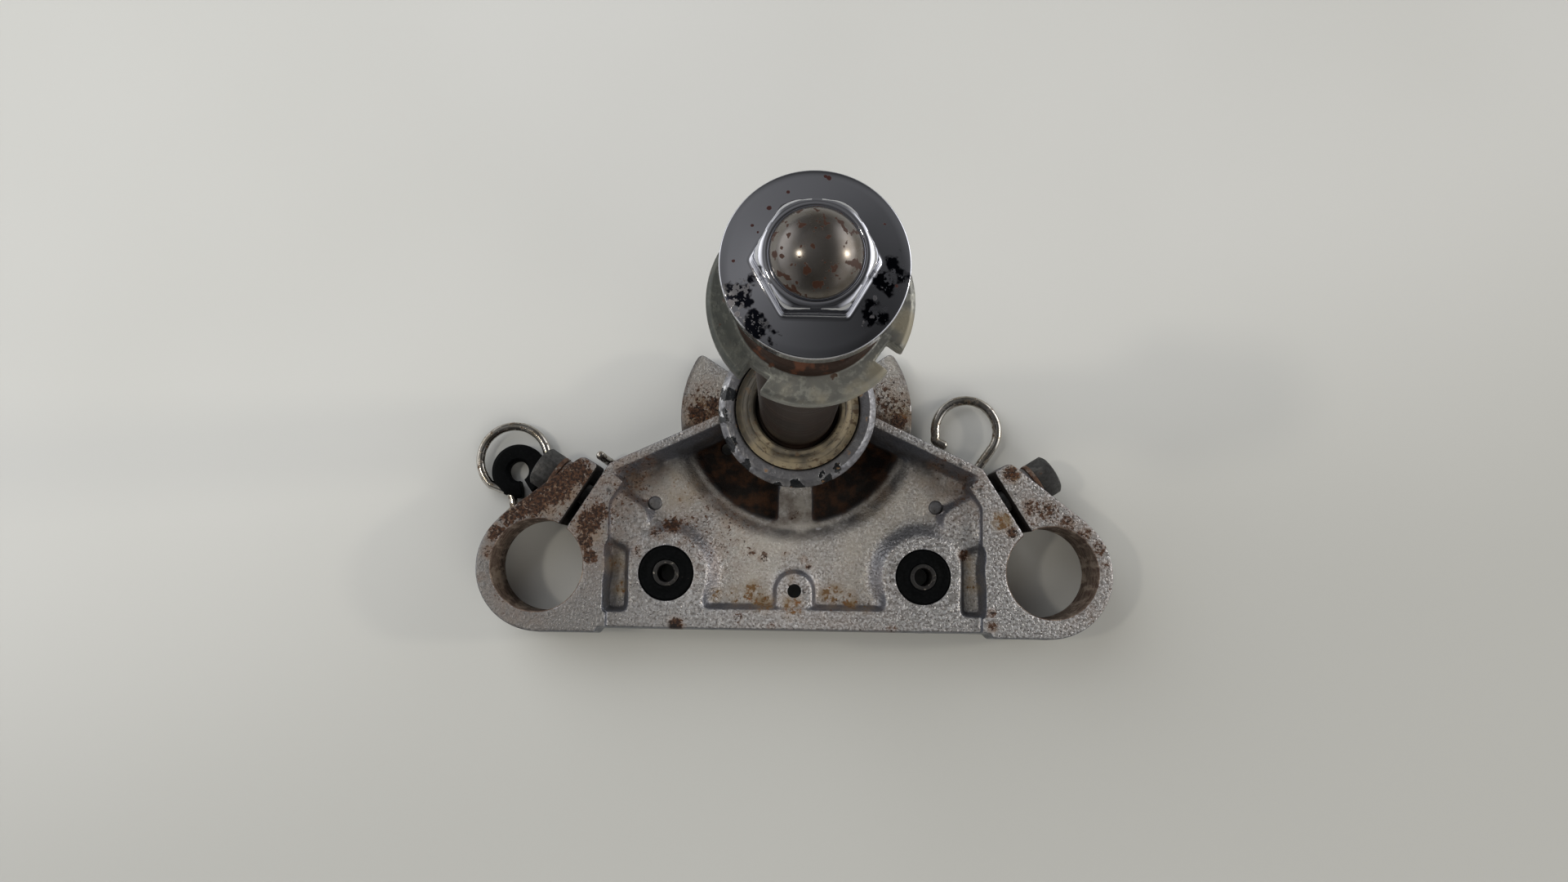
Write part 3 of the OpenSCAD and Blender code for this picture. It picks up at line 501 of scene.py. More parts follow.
# %% [markdown]
# The bores come last, because smoothing has drawn their walls in. A point that lies almost on a bore's
# wall is moved exactly onto it. The mesh is then thinned to a number of triangles that is still quick
# to handle.

# %% True the bores
BORES_MM = ((FORK_MM, 16.5), (BUSH_MM, 10.0), (RIVET_MM, 2.6), (TAB_MM, 2.5), (STEM_MM, 15.0))
CLOSE_MM = 0.45
MAX_TRIANGLES = 190000

for middle, radius in BORES_MM:
    for side in (1, -1):
        off = spot[:, :2] - [side * middle.x, middle.y]
        far = np.hypot(off[:, 0], off[:, 1])
        on_wall = np.abs(far - radius) < CLOSE_MM
        spot[on_wall, :2] += off[on_wall] * (radius / far[on_wall] - 1)[:, None]
cast_mesh.vertices.foreach_set("co", (spot * MM).ravel())
triangles = sum(len(p.vertices) - 2 for p in cast_mesh.polygons)
share = min(1.0, MAX_TRIANGLES / triangles)
cast_mesh = applied(cast_mesh, [("DECIMATE", {"ratio": share})])
soften_shading(cast_mesh, 50)
print("casting smoothed,", triangles, "triangles, kept share", round(share, 2))

# %% [markdown]
# ## Cast aluminium, silver-painted and weathered
# The casting is aluminium with a coat of silver paint, so it is a plain silver grey with a
# fine sparkle from the grain of the sand. Road salt has pitted it: dark specks crowd on the left
# clamp's ear, round the slits and on the stop ears, tan dirt lies in the recesses, and handling has
# worn the edges bright. The grain is well under 1 mm, just wide enough to show in the picture.

# %% Where the casting is spotted
RUSTY_PX = [
    (608, 652, 17, 1.0), (628, 630, 22, 1.2), (652, 612, 29, 1.2), (680, 596, 31, 1.2),
    (706, 578, 26, 1.1), (722, 640, 21, 1.2), (716, 662, 14, 1.2), (722, 682, 13, 1.0),
    (733, 628, 18, 1.0), (600, 676, 13, 0.7), (590, 707, 10, 0.5), (794, 564, 12, 0.6),
    (786, 580, 9, 0.6), (748, 630, 13, 0.7), (803, 652, 13, 0.8), (822, 642, 16, 1.0),
    (845, 640, 18, 0.6), (860, 650, 13, 0.5), (850, 610, 18, 0.4), (779, 675, 10, 0.6),
    (1238, 581, 14, 1.0), (1262, 622, 17, 0.8), (1285, 626, 20, 0.8), (1306, 640, 17, 0.8),
    (1327, 652, 16, 0.7), (1346, 672, 14, 0.8), (1353, 692, 10, 0.6), (1240, 652, 10, 1.0),
    (1183, 680, 9, 1.1), (1214, 752, 8, 0.8), (1216, 768, 9, 0.8), (919, 676, 9, 0.7),
    (934, 681, 10, 0.8), (963, 681, 9, 0.6), (984, 684, 8, 0.6), (990, 694, 6, 0.8), (904, 757, 9, 0.7),
    (827, 765, 12, 1.1), (944, 767, 8, 0.6), (1093, 771, 10, 0.6), (973, 628, 12, 0.5),
    (1150, 566, 16, 0.5), (1190, 582, 18, 0.5), (852, 500, 20, 1.0), (872, 488, 16, 1.0),
    (846, 474, 12, 0.6), (1092, 486, 17, 0.8), (1105, 510, 14, 1.1), (1100, 462, 13, 0.6),
    (1082, 600, 16, 0.4), (700, 620, 110, 0.52), (870, 650, 80, 0.46), (1290, 640, 80, 0.46),
    (860, 490, 45, 0.66), (1095, 490, 45, 0.66), (760, 590, 60, 0.55), (1180, 600, 60, 0.42),
    (640, 720, 60, 0.4), (1000, 760, 120, 0.3), (1330, 730, 60, 0.4),
]
DIRTY_PX = [
    (922, 727, 21, 1.1), (936, 738, 15, 1.1), (898, 730, 15, 0.8), (877, 728, 11, 0.8),
    (1018, 728, 18, 1.1), (1040, 736, 15, 1.1), (1060, 742, 12, 0.6), (970, 741, 18, 1.1),
    (968, 705, 10, 0.6), (755, 690, 14, 0.9), (760, 720, 12, 0.9), (1190, 715, 14, 0.8),
    (1188, 690, 11, 0.7), (1221, 639, 14, 1.5), (858, 500, 25, 1.0), (1105, 506, 22, 0.9),
    (680, 600, 42, 0.7), (725, 650, 22, 0.7), (1238, 581, 15, 0.9), (835, 600, 30, 0.6),
    (1075, 625, 32, 0.4), (1120, 600, 25, 0.3),
]
CHIPPED_PX = [
    (1182, 590, 5, 1.0), (1192, 595, 5, 1.0), (1200, 600, 4, 0.8), (1155, 570, 4, 0.9),
    (1176, 569, 4, 0.9), (1229, 619, 4, 0.9), (1245, 607, 5, 1.0), (1232, 661, 4, 0.8),
    (1257, 770, 6, 0.6), (1305, 777, 8, 0.6), (1338, 759, 6, 0.5), (1230, 778, 6, 0.7),
    (824, 766, 9, 1.0), (985, 724, 4, 1.0), (746, 600, 4, 0.8), (1141, 554, 5, 0.7), (1130, 545, 5, 0.6),
    (660, 560, 4, 0.3), (1110, 772, 7, 0.4), (870, 772, 7, 0.4),
]

# %% Cast aluminium
cast = start_finish("weathered_cast_aluminium", "#b6b5b4", 0.75, 0.4)
lay(cast, spots(cast, 9, 0.45, soft=0.15, seed=1), base="#a7a5a3")
lay(cast, spots(cast, 30, 0.4, soft=0.2, seed=20), base="#9b9a98")
lay(cast, spots(cast, 0.6, 0.35, soft=0.12, seed=2, detail=2), base="#d8d8da", rough=0.3, lift=0.12)
lay(cast, spots(cast, 0.6, 0.28, soft=0.1, seed=4, detail=2), base="#7f7c7a", lift=-0.06)
lay(cast, spots(cast, 0.9, 0.02, soft=0.03, seed=15, detail=1), base="#e6e2df", rough=0.25)
lay(cast, spots(cast, 0.7, 0.03, soft=0.03, seed=16, detail=1), base="#3a302a", rough=0.6)

# %% [markdown]
# Slopes and walls are painted a darker blue-grey, which is painted shade for the dim room that they face. The mesh's
# own direction tells level ground from a slope.

# %% Painted shade of slopes, the left side and recesses, with dust, dirt and rust of the casting
facing = add(cast["tree"], "ShaderNodeNewGeometry", out="Normal")
facing = add(cast["tree"], "ShaderNodeSeparateXYZ", {0: facing}, out="Z")
steep_shade = ramp(cast, facing, 0.62, 0.93, 1.0, 0.0)
axes = add(cast["tree"], "ShaderNodeSeparateXYZ", {0: cast["place"]}).node.outputs
dusty = both(cast, ramp(cast, axes["Z"], 15 * MM, 18 * MM, 1.0, 0.0), spots(cast, 14, 0.75, soft=0.25, seed=21))
lay(cast, dusty, base="#bdb8ae", metal=0.62, rough=0.45)
# The left side is painted darker: partly dirt, partly painted shade of light that comes from the right.
lay(cast, ramp(cast, axes["X"], -95 * MM, -8 * MM, 0.8, 0.0), base="#7d7b79", metal=0.7)
# Steep faces get a darker blue-grey: painted shade.
lay(cast, steep_shade, base="#696c73", metal=0.85, rough=0.36)

rusty = around(cast, RUSTY_PX, CLAMP_TOP_MM)
dirty = around(cast, DIRTY_PX, FLOOR_TOP_MM)
chipped = around(cast, CHIPPED_PX, CLAMP_TOP_MM)
# Painted shade: the recesses that ambient occlusion finds are darkened, mottled by spots.
recess_shade = ramp(cast, add(cast["tree"], "ShaderNodeAmbientOcclusion", {"Distance": 10 * MM}, out="AO", samples=6),
              0.3, 0.9, 1.0, 0.0)
lay(cast, both(cast, recess_shade, spots(cast, 4, 0.6, soft=0.25, seed=5)), base="#57534f", metal=0.4, rough=0.55)

across = add(cast["tree"], "ShaderNodeMath", {0: axes["X"]}, operation="ABSOLUTE")
folded = add(cast["tree"], "ShaderNodeCombineXYZ", {0: across, 1: axes["Y"], 2: 0.0})
from_stem = add(cast["tree"], "ShaderNodeVectorMath", {0: folded}, out="Value", operation="LENGTH")
past_wall = add(cast["tree"], "ShaderNodeVectorMath", {0: folded, 1: (WALL_SLOPE, 1, 0)}, out="Value",
                operation="DOT_PRODUCT")
# Along the foot of the rear walls and round the pocket's rim the casting is darkened: painted shade, with grime.
below_top = ramp(cast, axes["Z"], 18 * MM, 23 * MM, 1.0, 0.0)
by_wall = both(cast, ramp(cast, past_wall, -6 * MM, (WALL_FOOT_MM - 6) * MM), below_top)
by_wall = both(cast, by_wall, ramp(cast, past_wall, (WALL_FOOT_MM + 4) * MM, (WALL_FOOT_MM + 7) * MM, 1.0, 0.0))
by_pocket = both(cast, ramp(cast, from_stem, (POCKET_R - 0.5) * MM, (POCKET_R + 4.5) * MM, 0.9, 0.0), below_top)
by_pocket = both(cast, by_pocket, ramp(cast, from_stem, 41 * MM, 43.5 * MM))
grime_and_shade = both(cast, by_wall, by_pocket, "MAXIMUM")
lay(cast, both(cast, grime_and_shade, spots(cast, 5, 0.9, soft=0.25, seed=17)), base="#353435", metal=0.4, rough=0.5)

lay(cast, both(cast, dirty, spots(cast, 3, 0.6, soft=0.25, seed=18)), base="#7c6d56", metal=0.3, rough=0.6)
lay(cast, spots(cast, 1.0, 0.003, soft=0.05, seed=6, crowd=dirty, crowding=0.3, detail=5), base="#5e4526",
    metal=0.1, rough=0.7)
lay(cast, both(cast, rusty, spots(cast, 2.5, 0.6, soft=0.25, seed=19)), base="#6f5640", metal=0.3, rough=0.6)
lay(cast, spots(cast, 0.8, 0.006, soft=0.05, seed=7, crowd=rusty, crowding=0.37, detail=4), base="#442c1c",
    metal=0.1, rough=0.7)
lay(cast, spots(cast, 0.6, 0.01, soft=0.03, seed=8, crowd=rusty, crowding=0.27), base="#22150e", metal=0.0,
    rough=0.8, lift=-0.05)
lay(cast, spots(cast, 0.8, 0.002, soft=0.03, seed=9, crowd=dirty, crowding=0.2), base="#6b3d15", metal=0.0, rough=0.8)
lay(cast, both(cast, chipped, spots(cast, 1.3, 0.55, soft=0.04, seed=14)), base="#15100d", metal=0.0, rough=0.8)

# %% [markdown]
# Edges are found by how sharply the mesh turns there, which Blender calls pointiness. The rest are found by where they
# are: the walls of the fork bores by how far they lie from the fork's axis, the slits, painted near-black as painted
# shade with grime, by how near they are to the plane of the cut, and the pocket by the hub, painted near-black as
# painted shade with grime and with rust spots over it, by its depth.

# %% Edges, bores, and painted shade in the slits and pocket of the casting
turn = add(cast["tree"], "ShaderNodeNewGeometry", out="Pointiness")
worn = both(cast, ramp(cast, turn, 0.53, 0.60), spots(cast, 3, 0.6, soft=0.2, seed=10))
lay(cast, worn, base="#d2d2d6", metal=0.9, rough=0.28)

from_fork = add(cast["tree"], "ShaderNodeVectorMath", {0: folded, 1: (FORK_MM.x * MM, FORK_MM.y * MM, 0)},
                operation="SUBTRACT")
fork_far = add(cast["tree"], "ShaderNodeVectorMath", {0: from_fork}, out="Value", operation="LENGTH")
in_bore = ramp(cast, fork_far, 16.65 * MM, 16.95 * MM, 1.0, 0.0)
lay(cast, in_bore, base="#6a5a4e", metal=0.4, rough=0.5)
lay(cast, both(cast, in_bore, spots(cast, 2.5, 0.45, soft=0.12, seed=11, stretch=(1, 1, 0.35))), base="#3f2e25",
    metal=0.1, rough=0.7)
lay(cast, both(cast, in_bore, spots(cast, 2.0, 0.25, soft=0.1, seed=12, stretch=(1, 1, 4))), base="#9c8c7d",
    metal=0.6, rough=0.45)

SLIT_TURN = math.radians(32)
slit_side = (math.cos(SLIT_TURN), math.sin(SLIT_TURN), 0)
slit_along = (-math.sin(SLIT_TURN), math.cos(SLIT_TURN), 0)
off_slit = add(cast["tree"], "ShaderNodeVectorMath", {0: from_fork, 1: slit_side}, out="Value",
               operation="DOT_PRODUCT")
off_slit = add(cast["tree"], "ShaderNodeMath", {0: off_slit}, operation="ABSOLUTE")
up_slit = add(cast["tree"], "ShaderNodeVectorMath", {0: from_fork, 1: slit_along}, out="Value",
              operation="DOT_PRODUCT")
# The slits are painted near-black: painted shade in the deep cut, with grime.
slit_shade = both(cast, ramp(cast, off_slit, 2.1 * MM, 2.4 * MM, 1.0, 0.0), ramp(cast, up_slit, 15 * MM, 16.5 * MM))
slit_shade = both(cast, slit_shade, ramp(cast, facing, 0.6, 0.85, 1.0, 0.0))
lay(cast, slit_shade, base="#16110e", metal=0.0, rough=0.9)

# The pocket is painted near-black: painted shade under the bearing cup, with grime, and rust spots laid over it.
pocket_shade = both(cast, ramp(cast, from_stem, (POCKET_R - 4) * MM, POCKET_R * MM, 1.0, 0.0),
                 ramp(cast, past_wall, (WALL_FOOT_MM - 2) * MM, WALL_FOOT_MM * MM, 1.0, 0.0))
pocket_shade = both(cast, pocket_shade, ramp(cast, axes["Z"], 10.5 * MM, 15 * MM, 1.0, 0.0))
lay(cast, pocket_shade, base="#0a0604", metal=0.0, rough=0.95)
lay(cast, both(cast, pocket_shade, spots(cast, 3, 0.35, soft=0.15, seed=13)), base="#2b1809", metal=0.0,
    rough=0.95)
cast_aluminium = close_finish(cast)
piece_from("casting", cast_mesh, cast_aluminium, "cast_aluminium", "lower_yoke")

# %% [markdown]
# ## Stem
# The stem is a turned steel tube, dull brown-grey with fine scratches that run round it, where the
# bearing's dirt was turned against it. A scratch that runs round has no height to speak of but is
# long in plan, so its noise is stretched sideways.

# %% Stem steel
stem = start_finish("turned_steel", "#322b27", 0.8, 0.4)
lay(stem, spots(stem, 0.5, 0.45, soft=0.2, seed=1, stretch=(60, 60, 1), detail=2), base="#241f1c",
    rough=0.46, lift=0.01)
lay(stem, spots(stem, 12, 0.4, soft=0.2, seed=2), base="#33251e", metal=0.6, rough=0.5)
lay(stem, spots(stem, 0.35, 0.08, soft=0.06, seed=3, stretch=(80, 80, 1), detail=1), base="#564d46",
    rough=0.32)
turned_steel = close_finish(stem)
piece_from("stem", rounded("steering_stem", 0.3), turned_steel, "stem_steel", "steering_stem")

# %% [markdown]
# The model's stem is smooth where the real one is threaded. A thread is one long ridge wound round the
# rod: a small triangle swept along a helix. Its pitch is 1 mm, the usual one for a steering stem.

# %% Stem thread
THREAD_PITCH_MM = 1.0
THREAD_SIDES = 64


def thread_ridge(radius_mm, low_mm, high_mm, depth_mm):
    """A triangular ridge wound round the z axis from low to high, sunk a little into the rod."""
    turns = (high_mm - low_mm) / THREAD_PITCH_MM
    steps = int(turns * THREAD_SIDES)
    form = bmesh.new()
    rings = []
    for i in range(steps + 1):
        angle = 2 * math.pi * i / THREAD_SIDES
        z = low_mm + THREAD_PITCH_MM * i / THREAD_SIDES
        fade_in = min(1.0, i / THREAD_SIDES, (steps - i) / THREAD_SIDES)
        corners = ((radius_mm - depth_mm, -0.46), (radius_mm + 0.01 - depth_mm * (1 - fade_in), 0),
                   (radius_mm - depth_mm, 0.46))
        rings.append([form.verts.new((r * math.cos(angle) * MM, r * math.sin(angle) * MM, (z + dz) * MM))
                      for r, dz in corners])
    for a, b in zip(rings, rings[1:]):
        for k in range(3):
            form.faces.new((a[k], b[k], b[(k + 1) % 3], a[(k + 1) % 3]))
    form.faces.new(rings[0])
    form.faces.new(rings[-1][::-1])
    bmesh.ops.recalc_face_normals(form, faces=form.faces)
    mesh = bpy.data.meshes.new("thread")
    form.to_mesh(mesh)
    form.free()
    return mesh


piece_from("stem_thread", thread_ridge(13.25, 171, 199, 0.5), turned_steel, "stem_steel")
print("thread wound", round(28 / THREAD_PITCH_MM), "turns")

# %% [markdown]
# ## Lower bearing
# The race carries a groove for the balls, worn in rings, which are painted as dark rings of shade, and is smeared with
# old grease, which has dried to a cream colour at the front. Its rear left is painted darker as painted shade. The cup
# round it was painted black over silver, and the black has flaked off.

# %% Race and cup
race = start_finish("greasy_race_steel", "#6b655a", 0.6, 0.45)
race_flat = add(race["tree"], "ShaderNodeVectorMath", {0: race["place"], 1: (1, 1, 0)}, operation="MULTIPLY")
race_far = add(race["tree"], "ShaderNodeVectorMath", {0: race_flat}, out="Value", operation="LENGTH")
front_right = ramp(race, add(race["tree"], "ShaderNodeVectorMath", {0: race["place"], 1: (0.6, -0.8, 0)},
                             out="Value", operation="DOT_PRODUCT"), -14 * MM, 12 * MM)
lay(race, spots(race, 5, 0.3, soft=0.15, seed=1, crowd=front_right, crowding=0.1), base="#81765f",
    metal=0.1, rough=0.65, lift=0.1)
# Dark rings at three radii: painted shade of grooves that the mesh lacks.
for groove_mm, wide_mm in ((15.4, 0.5), (17.3, 0.8), (19.6, 0.4)):
    off = add(race["tree"], "ShaderNodeMath", {0: race_far, 1: groove_mm * MM}, operation="SUBTRACT")
    off = add(race["tree"], "ShaderNodeMath", {0: off}, operation="ABSOLUTE")
    groove_shade = both(race, ramp(race, off, 0.0, wide_mm * MM, 0.9, 0.0), spots(race, 5, 0.6, soft=0.2, seed=4))
    lay(race, groove_shade, base="#2b2925", metal=0.5, rough=0.4)
# The rear left of the race is painted darker: painted shade.
lay(race, ramp(race, front_right, 0.15, 0.6, 0.6, 0.0), base="#35332e", metal=0.6, rough=0.4)
lay(race, spots(race, 1.1, 0.16, soft=0.05, seed=2, stretch=(1.5, 1.5, 1)), base="#4a3c2b",
    metal=0.0, rough=0.6)
lay(race, spots(race, 0.8, 0.07, soft=0.03, seed=3), base="#241a13", metal=0.0, rough=0.6)
greasy_race = close_finish(race)
piece_from("bearing_race", rounded("lower_bearing_race", 0.25), greasy_race, "race_steel", "lower_bearing_race")

BLACK_PX = [(888, 480, 14, 1.0), (884, 510, 14, 1.0), (893, 545, 14, 1.1), (908, 575, 14, 1.2), (925, 590, 13, 0.8),
            (952, 596, 10, 1.0), (975, 597, 13, 1.1), (1010, 588, 12, 0.8), (1030, 570, 12, 0.7), (1050, 540, 9, 0.6)]
cup = start_finish("flaked_cup_paint", "#8b8b8e", 0.8, 0.3)
lay(cup, spots(cup, 1.0, 0.5, soft=0.2, seed=1, detail=2), base="#707073", rough=0.5, lift=0.08)
flaked = around(cup, BLACK_PX, 29.0)
lay(cup, both(cup, flaked, spots(cup, 2.5, 0.5, soft=0.1, seed=4)), base="#cfcfd0", metal=1.0, rough=0.2)
lay(cup, spots(cup, 3.0, 0.02, soft=0.03, seed=2, crowd=flaked, crowding=0.36), base="#141618",
    metal=0.0, rough=0.25, lift=0.12)
lay(cup, spots(cup, 2, 0.06, soft=0.05, seed=3), base="#6e5438", metal=0.0, rough=0.7)
flaked_cup = close_finish(cup)
piece_from("dust_cup", rounded("bearing_dust_cup", 0.6, 3), flaked_cup, "cup_steel", "bearing_dust_cup")

# %% [markdown]
# ## Ring nut
# The slotted nut that sets the bearings is zinc-plated steel gone dull. Grease has dried on its right side, and its
# raised middle, which the upper yoke used to hide, has rusted; that middle is painted darker also as painted shade
# under the cap nut's flange. Its left side is painted darker as painted shade.

# %% Ring nut
RUSTED_RING_PX = [(1036, 449, 9, 1.2), (1022, 462, 7, 0.9), (946, 447, 6, 1.2), (960, 454, 7, 1.1), (1071, 421, 8, 0.6)]
GREASY_PX = [(1085, 455, 30, 1.0), (1050, 480, 22, 0.8), (1110, 400, 26, 1.0), (1000, 490, 14, 0.4)]
ring = start_finish("dull_zinc", "#8b8b85", 0.75, 0.42)
lay(ring, spots(ring, 8, 0.5, soft=0.2, seed=1), base="#747571", rough=0.5)
lay(ring, spots(ring, 0.9, 0.3, soft=0.1, seed=2, detail=2), base="#9a9b93", lift=0.03)
lay(ring, spots(ring, 4, 0.05, soft=0.2, seed=3, crowd=around(ring, GREASY_PX, 193), crowding=0.3), base="#827d6d",
    metal=0.3, rough=0.55)
ring_axes = add(ring["tree"], "ShaderNodeSeparateXYZ", {0: ring["place"]}).node.outputs
ring_height = ring_axes["Z"]
# The left side is painted darker: painted shade.
lay(ring, ramp(ring, ring_axes["X"], -17 * MM, -4 * MM, 0.8, 0.0), base="#3d413e", rough=0.5)
lay(ring, spots(ring, 1.6, 0.03, soft=0.04, seed=5, crowd=around(ring, RUSTED_RING_PX, 193), crowding=0.24),
    base="#3b2a1e", metal=0.0, rough=0.7)
# The raised middle: rust, and painted shade under the cap nut's flange.
raised_rust_and_shade = ramp(ring, ring_height, 193.4 * MM, 193.9 * MM)
lay(ring, raised_rust_and_shade, base="#2f221b", metal=0.3, rough=0.5)
lay(ring, spots(ring, 2.4, 0.05, soft=0.05, seed=4, crowd=raised_rust_and_shade, crowding=0.12), base="#4a2b1a",
    metal=0.0, rough=0.7)
dull_zinc = close_finish(ring)
piece_from("ring_nut", rounded("stem_ring_nut", 0.35), dull_zinc, "ring_nut_steel", "stem_ring_nut")

# %% [markdown]
# ## Cap nut
# A chamfered hexagon nut starts as a turned blank whose six sides are milled flat. The mesh is made
# the same way: a profile is turned round the axis, and on the way up the hexagon each radius is held to
# the flat side. The nut is the piece nearest the camera, so its fillets and chamfers all show.

# %% Cap nut form
FLANGE_MM, FLANGE_LOW_MM, FLANGE_TOP_MM = 18.5, 217.2, 222.7
FLAT_MM, HEX_TOP_MM, NUT_TOP_MM = 10.5, 230.0, 235.8
GROOVE_MM, NUT_BORE_MM = 8.9, 7.0
CORNER_POWER = 44


def hexagon_mm(angle):
    """How far the hexagon's side lies from its axis, with corners a little rounded."""
    shares = [max(math.cos(angle - math.radians(30 + 60 * k)), 0) ** CORNER_POWER for k in range(6)]
    return FLAT_MM / sum(shares) ** (1 / CORNER_POWER)


def nut_mesh(turns=240):
    """The cap nut as one turned profile, in mm, with its sides flattened."""
    cone = 1.6 / (FLANGE_MM - FLAT_MM)
    chamfer = ((13.0, 5.0), (12.0, 3.6), (11.7, 2.4), (11.4, 1.6), (11.0, 0.95), (10.5, 0.45), (10.0, 0.14), (9.5, 0.0))
    ball = ((NUT_TOP_MM - HEX_TOP_MM) ** 2 + GROOVE_MM ** 2) / (2 * (NUT_TOP_MM - HEX_TOP_MM))
    widest = math.asin(GROOVE_MM / ball)
    form = bmesh.new()
    columns = []
    for i in range(turns):
        angle = 2 * math.pi * i / turns
        side = hexagon_mm(angle)
        line = [(NUT_BORE_MM, HEX_TOP_MM), (NUT_BORE_MM, FLANGE_LOW_MM + 0.6), (NUT_BORE_MM + 0.6, FLANGE_LOW_MM)]
        line += [(FLANGE_MM - 0.8, FLANGE_LOW_MM), (FLANGE_MM, FLANGE_LOW_MM + 0.8), (FLANGE_MM, FLANGE_TOP_MM - 0.4)]
        line += [(FLANGE_MM - 0.4 + 0.4 * math.cos(t), FLANGE_TOP_MM - 0.4 + 0.4 * math.sin(t))
                 for t in (math.radians(d) for d in (20, 40, 60, 78))]
        foot = side + 1.2
        line += [(r, FLANGE_TOP_MM + (FLANGE_MM - 0.3 - r) * cone) for r in (16.5, 14.8, foot)]
        foot_z = line[-1][1]
        line += [(foot - 1.2 * math.sin(t), foot_z + 1.2 * (1 - math.cos(t)))
                 for t in (math.radians(d) for d in (20, 40, 60, 80, 90))]
        line += [(min(side, r), HEX_TOP_MM - drop) for r, drop in chamfer]
        line += [(GROOVE_MM + 0.25, HEX_TOP_MM - 0.1), (GROOVE_MM, HEX_TOP_MM - 0.35)]
        line += [(ball * math.sin(widest * (1 - k / 16)), NUT_TOP_MM - ball * (1 - math.cos(widest * (1 - k / 16))))
                 for k in range(16)]
        columns.append([form.verts.new((r * math.cos(angle) * MM, r * math.sin(angle) * MM, z * MM)) for r, z in line])
    tip = form.verts.new((0, 0, NUT_TOP_MM * MM))
    inside = form.verts.new((0, 0, HEX_TOP_MM * MM))
    for i in range(turns):
        a, b = columns[i], columns[(i + 1) % turns]
        form.faces.new((inside, b[0], a[0]))
        for k in range(len(a) - 1):
            form.faces.new((a[k], b[k], b[k + 1], a[k + 1]))
        form.faces.new((a[-1], b[-1], tip))
    bmesh.ops.recalc_face_normals(form, faces=form.faces)
    mesh = bpy.data.meshes.new("turned_nut")
    form.to_mesh(mesh)
    form.free()
    soften_shading(mesh, 50)
    print("nut turned,", len(mesh.polygons), "faces")
    return mesh


# %% [markdown]
# The nut is chrome-plated and still a mirror in most places. Rust has come through the plating as dark specks on the
# dome. On the flange the plating has gone milky in patches, and dark blue-black patches are painted there, partly
# plating gone black and partly a painted reflection of the dim room.

# %% Chrome
PEELED_AND_REFLECTED_PX = [(905, 362, 25, 1.0), (925, 345, 16, 0.7), (1090, 340, 30, 0.9), (1070, 385, 25, 0.9), (925, 398, 25, 0.9),
             (950, 415, 18, 0.6), (1100, 300, 15, 0.5)]
MILKY_PX = [(893, 372, 7, 1.3), (903, 384, 5, 1.1), (918, 352, 6, 0.8), (905, 340, 5, 0.7), (1058, 398, 7, 0.9),
            (1068, 388, 5, 1.0), (1080, 352, 5, 0.8), (1072, 366, 5, 0.8)]
RUST_DOT_PX = [(1015, 218, 4, 1.4), (1011, 216, 3, 1.2), (965, 236, 3, 1.3), (942, 256, 4, 1.3), (921, 277, 3, 1.1),
               (922, 331, 2, 1.0), (898, 320, 3, 1.0), (928, 286, 2, 0.9), (1083, 275, 3, 0.9), (1098, 350, 3, 1.0)]
chrome = start_finish("pitted_chrome", "#c9cacf", 1.0, 0.06)
lay(chrome, spots(chrome, 12, 0.4, soft=0.2, seed=1), rough=0.10)
peeled_and_reflected = around(chrome, PEELED_AND_REFLECTED_PX, 223)
# Dark blue-black patches on the flange: worn plating and a painted reflection of the dim room.
lay(chrome, spots(chrome, 2.0, 0.008, soft=0.06, seed=4, crowd=peeled_and_reflected, crowding=0.42), base="#1d1f27",
    rough=0.2)
lay(chrome, spots(chrome, 0.8, 0.01, soft=0.02, seed=2, crowd=peeled_and_reflected, crowding=0.24), base="#77787e",
    rough=0.35)
lay(chrome, spots(chrome, 1.3, 0.002, soft=0.03, seed=6, crowd=around(chrome, MILKY_PX, 223), crowding=0.4),
    base="#6a696d", metal=0.7, rough=0.45)
lay(chrome, spots(chrome, 0.9, 0.002, soft=0.01, seed=7, crowd=around(chrome, RUST_DOT_PX, 223), crowding=0.5),
    base="#32120e", metal=0.1, rough=0.6)
chrome_height = add(chrome["tree"], "ShaderNodeSeparateXYZ", {0: chrome["place"]}, out="Z")
on_dome = ramp(chrome, chrome_height, (HEX_TOP_MM - 0.1) * MM, (HEX_TOP_MM + 0.4) * MM)
lay(chrome, on_dome, base="#75716d", metal=0.85, rough=0.22)
lay(chrome, both(chrome, on_dome, spots(chrome, 5, 0.4, soft=0.2, seed=8)), base="#5c554c", rough=0.3)
lay(chrome, spots(chrome, 1.2, 0.004, soft=0.012, seed=5, crowd=on_dome, crowding=0.205, detail=2), base="#331a0b",
    metal=0.1, rough=0.6)
pitted_chrome = close_finish(chrome)
piece_from("cap_nut", nut_mesh(), pitted_chrome, "nut_chrome", "stem_cap_nut")

# %% [markdown]
# ## Bolts and washers
# The pinch bolts are plain phosphated steel, dark grey and matt. Their washers have rusted through.

# %% Bolts and washers
bolt = start_finish("phosphated_steel", "#4a4a4a", 0.7, 0.5)
lay(bolt, spots(bolt, 0.6, 0.4, soft=0.2, seed=1, stretch=(1, 1, 6)), base="#3b3b3a", rough=0.6, lift=0.02)
lay(bolt, spots(bolt, 2.5, 0.2, soft=0.1, seed=2), base="#5d5c5a", rough=0.45)
lay(bolt, spots(bolt, 1.6, 0.04, soft=0.04, seed=3), base="#4d382a", metal=0.1, rough=0.75)
phosphated = close_finish(bolt)
piece_from("bolts", rounded("pinch_bolts", 0.3), phosphated, "bolt_steel", "pinch_bolts")

